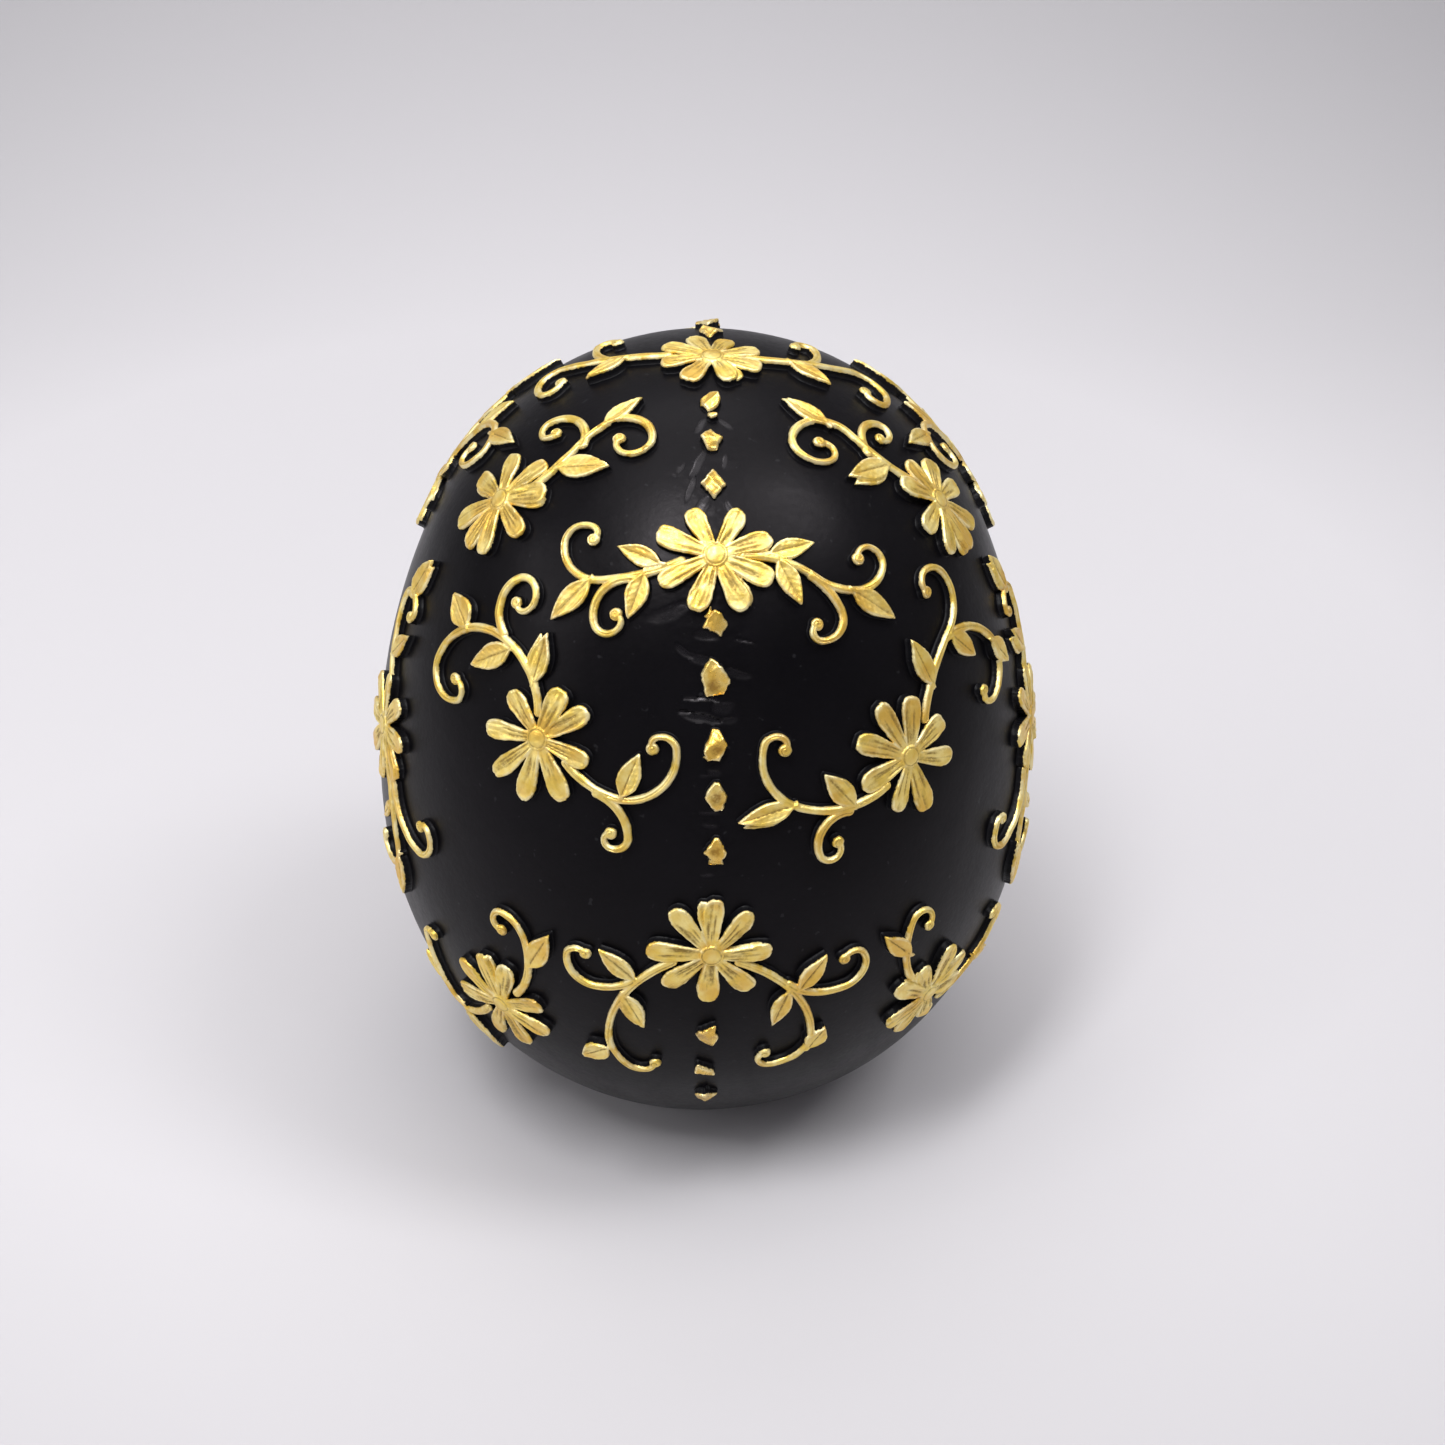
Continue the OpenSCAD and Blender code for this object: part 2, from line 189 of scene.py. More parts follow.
class Leaf:
    """A pointed leaf with a midrib pressed into it."""

    def __init__(self, x, y, ang, length, share, seed, level=0.0):
        self.o, self.a, self.len, self.share = (x, y), math.radians(ang), length, share
        self.seed, self.level = seed, level
        self.reach = (x + math.cos(self.a) * length / 2, y + math.sin(self.a) * length / 2,
                      length / 2 + 1.2)
        self.tilt = np.random.default_rng(seed).normal() * 0.1

    def at(self, x, y):
        u, t = lengthways(self, x, y)
        f = np.clip(u / self.len, 0, 1)
        half = self.len * self.share / 2 * np.sin(math.pi * f ** 0.8)
        stem = 0.42 * np.clip(1 - f / 0.3, 0, 1)
        half = np.maximum(half, stem)
        d = np.minimum((half - np.abs(t)) * 0.9, np.minimum(u + 0.9, (self.len - u) * 0.6))
        d = d + rag(x, y, self.seed, 0.08)
        k = t / np.maximum(half, 0.4)
        rib = np.exp(-(t / 0.16) ** 2) * np.clip(f / 0.1, 0, 1) * np.clip((0.9 - f) / 0.15, 0, 1)
        veins = 0.5 + 0.5 * np.sin((u - 0.8 * np.abs(t)) * 5.2)
        streak = noise(u / 1.8, t / 0.22, self.seed + 4)
        fold = np.clip(f / 0.2, 0, 1) * (0.26 * np.abs(k) - 0.16)
        pull = noise(u / 3.5, t / 0.6, self.seed + 6)
        h = (RELIEF + self.level + fold - 0.14 * rib + self.tilt * k + 0.07 * pull
             - 0.03 * veins + 0.035 * streak - shoulder(d) + lip(d))
        # Darker along the midrib, and in random streaks and pulls of the paste
        dark_tone = rib + 0.3 * np.clip(streak, 0, 1) + 0.6 * np.clip(-pull - 0.15, 0, 1)
        return d, h, np.clip(dark_tone, 0, 1)


def chain(x, y, head, arcs, step=0.25):
    """Points along a chain of arcs, each a radius and a sweep in degrees."""
    pts, head = [(x, y)], math.radians(head)
    for radius, sweep in arcs:
        s, n = math.radians(sweep), max(2, int(abs(radius * math.radians(sweep)) / step))
        k = 1 if s > 0 else -1
        cx, cy = x - k * radius * math.sin(head), y + k * radius * math.cos(head)
        for i in range(1, n + 1):
            a = head + s * i / n
            pts.append((cx + k * radius * math.sin(a), cy - k * radius * math.cos(a)))
        head += s
        x, y = pts[-1]
    return np.array(pts)


class Vine:
    """A cord of paste along a path, thinner towards its curled tip, which ends in a bead."""

    def __init__(self, x, y, head, arcs, seed, wide=1.75, tip=1.1, bead=1.1, level=0.0):
        self.p = chain(x, y, head, arcs)
        self.wide, self.tip, self.bead, self.seed, self.level = wide, tip, bead, seed, level
        self.run = np.r_[0, np.cumsum(np.hypot(*np.diff(self.p, axis=0).T))]
        mid = (self.p.max(0) + self.p.min(0)) / 2
        self.reach = (mid[0], mid[1], np.hypot(*(self.p - mid).T).max() + 1.6)

    def at(self, x, y):
        a, b = self.p[:-1], self.p[1:]
        best = np.full(len(x), 1e9)
        side, where = np.zeros(len(x)), np.zeros(len(x))
        for (ax, ay), (bx, by), run in zip(a, b, self.run):
            near = np.flatnonzero((np.abs(x - ax) < 2.2) & (np.abs(y - ay) < 2.2))
            if not len(near):
                continue
            dx, dy, px, py = bx - ax, by - ay, x[near] - ax, y[near] - ay
            k = np.clip((px * dx + py * dy) / (dx * dx + dy * dy), 0, 1)
            dist = np.hypot(px - k * dx, py - k * dy)
            closer = dist < best[near]
            hit = near[closer]
            best[hit] = dist[closer]
            side[hit] = np.sign(dx * py - dy * px)[closer]
            where[hit] = run + k[closer] * math.hypot(dx, dy)
        f = where / self.run[-1]
        half = (self.wide + (self.tip - self.wide) * f) / 2
        half = half * (1 + 0.08 * noise(where / 3.1, where * 0, self.seed))
        d = half - best + rag(x, y, self.seed, 0.06)
        k = np.clip(best / half, 0, 1)
        split = side * k
        drift = 0.15 + 0.3 * noise(where / 5, where * 0 + 3, self.seed)
        line = np.exp(-((split - drift) / 0.19) ** 2)
        line = line * np.clip(0.7 + 1.2 * noise(where / 4.5, where * 0 + 8, self.seed), 0, 1)
        top = RELIEF + self.level + 0.08 * noise(where / 2.3, where * 0 + 5, self.seed)
        round_top = 1 - np.sqrt(np.clip(1 - k * k * 0.9, 0, 1))
        h = top - 0.75 * round_top - 0.2 * line - 0.3 * shoulder(d)
        groove = 0.7 * line
        ex, ey = self.p[-1]
        far = np.hypot(x - ex, y - ey)
        db = self.bead - far + rag(x, y, self.seed + 1, 0.08)
        swirl = np.arctan2(y - ey, x - ex) / (2 * math.pi)
        turns = (far / (0.62 * self.bead) - swirl) % 1.0
        coil = np.exp(-((turns - 0.5) / 0.13) ** 2) * np.clip(far / 0.25, 0, 1)
        pit = np.exp(-(far / 0.22) ** 2)
        bead = top + 0.1 - 0.3 * (far / self.bead) ** 2 - 0.2 * coil - 0.2 * pit - shoulder(db)
        inb = (db > -0.05) & (bead > np.where(d > -0.05, h, 0))
        h, groove = np.where(inb, bead, h), np.where(inb, np.maximum(0.9 * coil, pit), groove)
        return np.maximum(d, db), h, groove


class Boss:
    """The round button in a flower, with a ring pressed round it."""

    def __init__(self, x, y, radius, seed, rise=0.38):
        self.o, self.r, self.seed, self.rise = (x, y), radius, seed, rise
        self.reach = (x, y, radius + 0.4)

    def at(self, x, y):
        far = np.hypot(x - self.o[0], y - self.o[1])
        d = self.r - far + rag(x, y, self.seed, 0.05)
        ring = np.exp(-((far - self.r * 0.8) / 0.16) ** 2)
        h = (RELIEF + self.rise * (1 - 0.45 * (far / self.r) ** 2) - 0.14 * ring
             + 0.05 * noise(x / 0.7, y / 0.7, self.seed) - shoulder(d))
        return d, h, 0.8 * ring + 0.25 * np.clip(noise(x / 0.5, y / 0.5, self.seed + 1), 0, 1)


class Lump:
    """A lump of paste with straight-cut sides: a stud, or a crumb beside one."""

    def __init__(self, corners, seed, level=0.0, slope=(0.0, 0.0), hollow=None):
        self.c, self.seed, self.level = np.array(corners, float), seed, level
        self.slope, self.hollow = slope, hollow
        mid = self.c.mean(0)
        self.mid, self.reach = mid, (*mid, np.hypot(*(self.c - mid).T).max() + 0.5)
        self.fold = np.random.default_rng(seed).uniform(0, math.pi)

    def at(self, x, y):
        near, inside = np.full(len(x), 1e9), np.zeros(len(x), bool)
        for (ax, ay), (bx, by) in zip(self.c, np.roll(self.c, -1, 0)):
            dx, dy = bx - ax, by - ay
            k = np.clip(((x - ax) * dx + (y - ay) * dy) / (dx * dx + dy * dy), 0, 1)
            near = np.minimum(near, np.hypot(x - ax - k * dx, y - ay - k * dy))
            if dy:
                inside ^= ((ay > y) != (by > y)) & (x < ax + (y - ay) * dx / dy)
        d = np.where(inside, near, -near) + rag(x, y, self.seed, 0.2)
        gx, gy = x - self.mid[0], y - self.mid[1]
        across = gx * math.cos(self.fold) + gy * math.sin(self.fold)
        bent = np.abs(across + 0.3 * noise(x / 1.5, y / 1.5, self.seed))
        h = (RELIEF + self.level + 2.2 * (self.slope[0] * gx + self.slope[1] * gy) - 0.36 * bent
             + 0.08 * noise(x / 0.9, y / 0.9, self.seed + 2) - shoulder(d) + lip(d))
        dark_tone = 0.5 * np.clip(noise(x / 0.8, y / 0.8, self.seed + 4), 0, 1)
        if self.hollow:
            hx, hy, radius, depth = self.hollow
            dent = np.exp(-(np.hypot(x - hx, y - hy) / radius) ** 2.5)
            # The hollow is pressed in, and its gold is darker towards the middle
            h, dark_tone = h - depth * dent, np.maximum(dark_tone, 1.2 * dent)
        return d, h, dark_tone


def field(strokes, x, y):
    """The union of strokes at points: inside distance, height and groove."""
    d, h, g = np.full(len(x), -9.0), np.zeros(len(x)), np.zeros(len(x))
    for s in strokes:
        cx, cy, r = s.reach
        near = np.flatnonzero((np.abs(x - cx) < r) & (np.abs(y - cy) < r))
        if not len(near):
            continue
        ds, hs, gs = s.at(x[near], y[near])
        d[near] = np.maximum(d[near], ds)
        over = (ds > -0.06) & (hs > h[near])
        h[near[over]], g[near[over]] = hs[over], gs[over]
    return d, h, g


# ---- From strokes to a mesh -----------------------------------------------------------
# Corners 0-3 and edge crossings 4-7 of a grid cell, for each pattern of corners inside
CELLS = {1: [(0, 4, 7)], 2: [(1, 5, 4)], 4: [(2, 6, 5)], 8: [(3, 7, 6)], 3: [(0, 1, 5, 7)],
         6: [(1, 2, 6, 4)], 12: [(2, 3, 7, 5)], 9: [(3, 0, 4, 6)], 7: [(0, 1, 2, 6, 7)],
         14: [(1, 2, 3, 7, 4)], 13: [(2, 3, 0, 4, 5)], 11: [(3, 0, 1, 5, 6)],
         5: [(0, 4, 7), (2, 6, 5)], 10: [(1, 5, 4), (3, 7, 6)], 15: [(0, 1, 2, 3)]}
# Rows of a side wall: share of the edge's height, mm added, mm outwards, and how gilt
WALL_ROWS = [(0.86, 0.0, 0.03, 0.55), (0.45, 0.0, 0.05, 0.0), (0.0, 0.14, 0.09, 0.0),
             (0.0, 0.02, 0.24, 0.0), (0.0, -0.25, 0.24, 0.0)]
SNAP = 0.012  # no grid point counts as nearer to the outline than this, mm
CROSSING = (0.06, 0.94)  # how near to a grid point the outline may cross a grid line
EDGE_LOW = 0.5  # least height of a top's edge, mm
PROBE = 0.05  # step to either side for telling which way is outwards, mm
RELIEF_CREASE, SHELL_CREASE = math.radians(48), math.radians(35)


def relief_mesh(name, az, lean, strokes, trim=None):
    """A closed mesh of the strokes' union on the shell. trim = (strokes, depth) cuts others away."""
    lo = np.min([(s.reach[0] - s.reach[2], s.reach[1] - s.reach[2]) for s in strokes], 0)
    hi = np.max([(s.reach[0] + s.reach[2], s.reach[1] + s.reach[2]) for s in strokes], 0)
    nx, ny = (np.ceil((hi - lo) / GRID)).astype(int) + 2
    gx, gy = np.meshgrid(lo[0] + GRID * np.arange(nx), lo[1] + GRID * np.arange(ny))

    def sample(x, y):
        d, h, g = field(strokes, x, y)
        if trim:
            other = field(trim[0], x, y)[0]
            d = np.minimum(d, trim[1] - other)
        return d, h, g

    d, h, g = (v.reshape(ny, nx) for v in sample(gx.ravel(), gy.ravel()))
    d = np.where(np.abs(d) < SNAP, np.where(d >= 0, SNAP, -SNAP), d)
    d[0], d[-1], d[:, 0], d[:, -1] = -1, -1, -1, -1
    ins = d > 0
    ids = -np.ones((ny, nx), int)
    ids[ins] = np.arange(ins.sum())
    n = int(ins.sum())
    across = ins[:, :-1] != ins[:, 1:]
    along = ins[:-1] != ins[1:]
    ha, va = -np.ones((ny, nx), int), -np.ones((ny, nx), int)
    ha[:, :-1][across] = n + np.arange(across.sum())
    va[:-1][along] = n + across.sum() + np.arange(along.sum())
    j, i = np.nonzero(across)
    k = np.clip(d[j, i] / (d[j, i] - d[j, i + 1]), *CROSSING)
    ex, ey = gx[j, i] + k * GRID, gy[j, i]
    j, i = np.nonzero(along)
    k = np.clip(d[j, i] / (d[j, i] - d[j + 1, i]), *CROSSING)
    ex, ey = np.r_[ex, gx[j, i]], np.r_[ey, gy[j, i] + k * GRID]
    _, eh, eg = sample(ex, ey)
    sx = sample(ex + PROBE, ey)[0] - sample(ex - PROBE, ey)[0]
    sy = sample(ex, ey + PROBE)[0] - sample(ex, ey - PROBE)[0]
    size = np.hypot(sx, sy) + 1e-9
    ox, oy = -sx / size, -sy / size  # outwards
    eh = np.maximum(eh, EDGE_LOW)
    corner = [ids[:-1, :-1], ids[:-1, 1:], ids[1:, 1:], ids[1:, :-1],
              ha[:-1, :-1], va[:-1, 1:], ha[1:, :-1], va[:-1, :-1]]
    case = (ins[:-1, :-1] * 1 + ins[:-1, 1:] * 2 + ins[1:, 1:] * 4 + ins[1:, :-1] * 8)
    faces, rim = [], []
    for number, polygons in CELLS.items():
        at = np.nonzero(case == number)
        if not len(at[0]):
            continue
        for poly in polygons:
            faces.append(np.stack([corner[t][at] for t in poly], 1))
            for a, b in zip(poly, poly[1:] + poly[:1]):
                if a > 3 and b > 3:
                    rim.append(np.stack([corner[a][at], corner[b][at]], 1))
    rim = np.concatenate(rim)
    m = len(ex)
    inset = [np.clip(d[ins], 0, 1), np.zeros(m)]
    xs, ys = [gx[ins], ex], [gy[ins], ey]
    hs, gilt, groove = [h[ins], eh], [np.ones(n), np.ones(m)], [g[ins], eg]
    for row, (share, add, out, gild) in enumerate(WALL_ROWS):
        xs.append(ex + out * ox), ys.append(ey + out * oy)
        hs.append(share * eh + add)
        gilt.append(np.full(m, gild)), groove.append(eg * 0), inset.append(eg * 0)
        a, b = rim[:, 0] + row * m, rim[:, 1] + row * m
        faces.append(np.stack([b, a, a + m, b + m], 1))
    x, y, h = np.concatenate(xs), np.concatenate(ys), np.concatenate(hs)
    base = n + m * len(WALL_ROWS)
    step = dict(zip(rim[:, 1] - n, rim[:, 0] - n))
    loops = []
    while step:
        first, at = next(iter(step.items()))
        loop = [first]
        del step[first]
        while at != first:
            loop.append(at)
            at = step.pop(at)
        loops.append(loop)
    flat = [p for loop in loops for p in loop]
    polygon = [[Vector((x[base + p], y[base + p], 0)) for p in loop] for loop in loops]
    caps = np.array([[base + flat[t] for t in tri] for tri in tessellate_polygon(polygon)])
    (x0, y0), (x1, y1), (x2, y2) = ((x[caps[:, t]], y[caps[:, t]]) for t in range(3))
    turn = (x1 - x0) * (y2 - y0) - (x2 - x0) * (y1 - y0)
    caps[turn > 0] = caps[turn > 0][:, ::-1]
    faces.append(caps)
    me = bpy.data.meshes.new(name)
    fill_mesh(me, on_shell(az, lean, x, y, h) * MM, faces)
    for title, values in (("gilt", gilt), ("groove", groove), ("inset", inset)):
        layer = me.attributes.new(title, "FLOAT", "POINT")
        layer.data.foreach_set("value", np.concatenate(values).astype(np.float32))
    me.shade_smooth()
    me.set_sharp_from_angle(angle=RELIEF_CREASE)
    return me


def fill_mesh(me, points, faces):
    """Vertices and faces of mixed sizes into a mesh."""
    counts = np.concatenate([np.full(len(f), f.shape[1]) for f in faces])
    corners = np.concatenate([f.ravel() for f in faces])
    me.vertices.add(len(points))
    me.vertices.foreach_set("co", np.asarray(points, np.float32).ravel())
    me.loops.add(len(corners))
    me.loops.foreach_set("vertex_index", corners.astype(np.int32))
    me.polygons.add(len(counts))
    me.polygons.foreach_set("loop_start", np.r_[0, np.cumsum(counts)[:-1]].astype(np.int32))
    me.update(calc_edges=True)
    me.validate()


def piece(name, me, slot, *nodes):
    ob = bpy.data.objects.new(name, me)
    bpy.context.scene.collection.objects.link(ob)
    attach(ob, "root")
    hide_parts(*nodes)


# ---- Motifs: x right, y up the shell, 0,0 the flower's boss -----------------------------
# vine = (x, y, heading, [(radius, sweep), ...])
# leaf = (x, y, heading, length[, width as a share of length])
VINES = {
    "crown": [(-8, 2, 170, [(60, -20), (3, 90), (6, 60), (2, 150)]),
              (-19, 5, 130, [(11, -50), (2, -170)]),
              (7, 0.5, 5, [(42, 28), (4.5, -100), (6, -50), (2, -150)]),
              (18.5, 3.5, 55, [(9.5, 50), (2, 180)])],
    "shoulder_left": [(4.5, 5, 70, [(25, 25), (30, -12), (5.5, -125), (3, -165), (1.5, -60)]),
                      (6.5, 17, 125, [(6.5, 115), (2, 210)])],
    "shoulder_right": [(-3, 6.5, 122, [(20, -40), (6.5, 120), (4, 145), (2, 160)]),
                       (-6.5, 15.5, 70, [(5.5, -110), (2, -210)])],
    "upper": [(-6, -1, -157, [(34, -25), (6.5, -95), (3.5, -110), (1.5, -120)]),
              (-14, -4, 165, [(6, 120), (2.5, 130), (1.5, 100)]),
              (5, 0, 3, [(22.5, -35), (10.5, 45), (5.5, 70), (3, 80), (2, 120)]),
              (17, -3, -30, [(14.5, -30), (4, -120), (1.5, -150)])],
    "mid_left": [(-1, 4.5, 100, [(13.5, 150), (5, 135), (2, 160)]),
                 (-11.5, 16, 140, [(6.5, -105), (3, -190), (1.5, -100)]),
                 (6, -3, -40, [(18.5, 30), (9, 115), (2.5, 95), (1.5, 110)]),
                 (12.5, -7, -10, [(8, -75), (2.5, -110), (1.5, -150)])],
    "mid_right": [(4.8, 5.6, 70, [(28, -35), (7.5, 80), (4.5, 75), (2.2, 120)]),
                  (13.8, 17.9, 12, [(14, -68), (7, -95), (2.5, -130)]),
                  (-5.5, -4, -155, [(18.5, -55), (10, -85), (2, -115), (1.5, -90)]),
                  (-13.5, -6.5, 170, [(5.5, 120), (2, 200)])],
    "lower": [(-7, -2, -150, [(24, 60), (13, 45), (3, 130)]),
              (-14.5, -7.5, -135, [(9.5, -45), (5.5, -100), (2, -130)]),
              (5, -2, -22, [(23, -68), (7.5, -95), (2, -155)]),
              (14.5, -8.5, -45, [(12, 55), (5, 110), (2, 130)])],
    "low_left": [(4.5, 5, 50, [(16.5, 55), (6, 65), (2, 190)]),
                 (-5, -5, -125, [(30, -22), (4, -105), (45, -20), (2, -120)])],
    "low_right": [(-5.5, 6.5, 130, [(16, -60), (2.5, -140), (2.5, -60)]),
                  (5, -4.5, 5, [(30, 25), (12, 40), (2, 150)])],
    "side_left": [(0, 6, 105, [(25, 15), (30, -22), (4.5, -150), (1.5, -130)]),
                  (4, -6, -60, [(60, -16), (5, -150), (1.5, -100)]),
                  (7.5, -7.5, -60, [(60, -3), (12, 60), (4, 130), (1.5, 120)])],
    "outer": [(3, 7, 85, [(40, -15), (8, -70), (4.5, -165), (2, -130)]),
              (-3, 7, 100, [(40, 20), (9, 65), (5, 150), (2, 150)])],
    "flank": [(4, 6, 60, [(16, 50), (6, 80), (2, 190)]),
              (-5, -5, -130, [(16, 50), (6, 90), (2, 150)])],
}
LEAVES = {
    "crown": [(-16, 3.5, 205, 8), (14.5, 1.5, -27, 8.5)],
    "shoulder_left": [(6, 22, 92, 8), (6.5, 11, 37, 10)],
    "shoulder_right": [(-7.5, 24, 92, 8.5), (-5.5, 11.5, 158, 10)],
    "upper": [(-9.5, -1.5, 155, 8.5), (-22, -3.5, -138, 9.5), (-12.5, -3, -110, 8.5),
              (9.5, 0.5, 17, 8.5), (11, -0.5, -62, 9), (24.5, -5, -27, 9)],
    "mid_left": [(-20.5, 14.5, 140, 7, 0.8), (-9, 14, -147, 10.5), (-3, 9.5, 85, 9.5),
                 (17, -6.5, 77, 9)],
    "mid_right": [(7.8, 11.2, 108, 10), (15.2, 18, -46, 8.5), (27.5, 12.5, -50, 8.5),
                  (-12.5, -5.5, 124, 9), (-23.5, -2.5, -172, 9.5)],
    "lower": [(-14, -7, 139, 9), (-16, -11, -65, 9), (-19, -27, -140, 6.5, 0.75),
              (16.5, -10, 56, 9), (14.5, -10, -108, 9), (19, -27, 60, 6, 0.75)],
    "low_left": [(8.5, 14, 62, 10), (-14.5, -13.5, -72, 13.5), (-20, -8, 130, 6.5)],
    "low_right": [(-8.5, 15, 135, 9), (15.5, -1, -20, 7)],
    "side_left": [(-2, 27.5, 70, 9.5), (-3, 14, 51, 9), (11, -23, -95, 10), (7, -14, -130, 6)],
    "outer": [(5, 17, 92, 8.5), (13, 22, 36, 9), (-7, 20, 100, 11), (-5, 12, 60, 7)],
    "flank": [(6.5, 13, 40, 9), (-8, -10, -170, 9)],
}
# Petals of the flowers seen from the front: (direction, length)
PETALS = {
    "crown": [(20, 9.5), (68, 8), (113, 9.5), (146, 10.5), (187, 9.5), (236, 9), (297, 8.5),
              (341, 9.5)],
    "front_shoulder_left": [(39, 10.5), (75, 11), (121, 9.5), (175, 9.5), (226, 11.5), (261, 11),
                            (291, 10.5), (345, 10)],
    "front_shoulder_right": [(45, 9), (97, 9.5), (132, 10), (191, 9), (236, 10.5), (277, 11.5),
                             (306, 11.5), (356, 9.5)],
    "front_upper": [(21, 10.5), (60, 9.5), (117, 9.5), (160, 11), (206, 11), (251, 10.5), (297, 11),
                    (336, 11)],
    "front_mid_left": [(40, 11.5), (74, 10.5), (135, 10), (186, 11.5), (231, 12.5), (265, 12.5),
                       (304, 12), (350, 10.5)],
    "front_mid_right": [(27, 10), (76, 11), (116, 12.5), (148, 12), (193, 11), (247, 10.5),
                        (284, 12), (338, 11)],
    "front_lower": [(49, 11.5), (91, 12), (127, 12), (177, 12), (218, 11.5), (268, 11), (311, 11),
                    (358, 11)],
    "front_low_left": [(24, 10.5), (73, 12), (106, 12), (152, 11.5), (196, 12), (248, 12.5),
                       (290, 11.5), (335, 11)],
    "front_low_right": [(26, 11), (68, 11.5), (114, 9.5), (147, 12), (204, 10.5), (238, 10.5),
                        (280, 8.5), (347, 9.5)],
}
# name, azimuth, lean, flower radius, turn, motif, whether the motif is turned over
SPRAYS = [
    ("crown", 0, 3, 10, 20, "crown", False),
    ("front_upper", 0, 47, 10.6, 22, "upper", False),
    ("front_lower", 0, 89, 11.4, 0, "lower", False),
    ("front_shoulder_left", -60, 48, 10.6, -12, "shoulder_left", False),
    ("front_shoulder_right", 66, 50, 10.6, 3, "shoulder_right", False),
    ("front_mid_left", -31, 73, 11.4, -5, "mid_left", False),
    ("front_mid_right", 35, 75, 11.4, 21, "mid_right", False),
    ("front_low_left", -38, 104, 11.6, 20, "low_left", False),
    ("front_low_right", 42, 104, 10.6, 20, "low_right", False),
    ("side_left", -73, 81, 11, 10, "side_left", False),
    ("side_right", 76, 81, 11, 170, "side_left", True),
    ("outer_left", -105, 64, 11, 0, "outer", False),
    ("outer_right", 106, 64, 11, 0, "outer", True),
    ("flank_left", -105, 100, 11, 10, "flank", True),
    ("flank_right", 105, 100, 11, 170, "flank", False),
]
SPRAYS += [(name.replace("front", "back"), az + (180 if az <= 0 else -180), *rest)
           for name, az, *rest in SPRAYS if name.startswith("front") and "shoulder" not in name]
DOUBLE_PETALS, DOUBLE_LEAVES = 0.3, 0.35  # share of them that are laid double


def flower_strokes(name, radius, turn, seed):
    """Eight petals, some of them laid double, and the boss."""
    rng = np.random.default_rng(seed)
    petals = PETALS.get(name) or [
        (turn + 45 * k + rng.normal() * 3, radius * rng.uniform(0.95, 1.04)) for k in range(8)]
    out = []
    for k, (ang, length) in enumerate(petals):
        width = rng.uniform(3.65, 4.35)
        square = rng.uniform(2.2, 3.2)
        out.append(Petal(0, 0, ang, length, width, seed * 31 + k, rng.normal() * 0.05, square))
        if rng.random() < DOUBLE_PETALS:
            side = rng.choice([-1, 1]) * rng.uniform(5, 8)
            out.append(Petal(0, 0, ang + side, length * rng.uniform(0.93, 1.0), width * 0.9,
                             seed * 37 + k, UNDER, square))
    return out + [Boss(0, 0, rng.uniform(2.0, 2.25), seed)]


def vine_strokes(motif, flip, seed):
    rng = np.random.default_rng(seed + 500)
    out = []
    for k, (x, y, head, arcs) in enumerate(VINES[motif]):
        if flip:
            x, head, arcs = -x, 180 - head, [(r, -s) for r, s in arcs]
        out.append(Vine(x, y, head, arcs, seed * 41 + k))
    for k, (x, y, head, length, *broad) in enumerate(LEAVES[motif]):
        if flip:
            x, head = -x, 180 - head
        share = broad[0] if broad else rng.uniform(0.42, 0.48)
        out.append(Leaf(x, y, head, length, share, seed * 43 + k, rng.normal() * 0.05))
        if rng.random() < DOUBLE_LEAVES:
            side = rng.choice([-1, 1]) * rng.uniform(7, 11)
            out.append(Leaf(x, y, head + side, length * 0.95, share, seed * 47 + k, UNDER))
    return out


# ---- Materials -------------------------------------------------------------------------
BLACK_TONES = ((0.0016, 0.0015, 0.0021, 1), (0.0028, 0.0026, 0.0035, 1))
DUST_TONE = (0.012, 0.012, 0.0135, 1)
BLACK_TINT = (1.0, 0.93, 0.98, 1)  # of the black paint's reflections
BLACK_SHEEN, CUT_SHEEN = 0.115, 0.3  # specular level of the black paint, and where it's cut
WALL_TONE, WALL_SHEEN, WALL_ROUGH = (0.005, 0.0048, 0.006, 1), 0.13, 0.42
# The second gold here is a painted highlight: a pale gold laid in patches along the tops' edges
DEEP_GOLD, EDGE_HIGHLIGHT_GOLD = (0.74, 0.45, 0.07, 1), (0.97, 0.87, 0.52, 1)
GOLD_METAL, GOLD_COAT = 0.66, 0.15
RUBBER_TONES = ((0.014, 0.014, 0.015, 1), (0.024, 0.023, 0.023, 1))
# Painted shade: the floor and backdrop colour goes from the near tone at the lit place to the darker
# far tone beyond LIT_RADII, standing in for the light's falloff
FLOOR_NEAR, FLOOR_PAINTED_SHADE = (0.525, 0.512, 0.533, 1), (0.28, 0.273, 0.286, 1)
LIT_PLACE, LIT_RADII = (-0.02, 0.15, 0.0), (0.22, 0.55)  # m: where the floor is palest


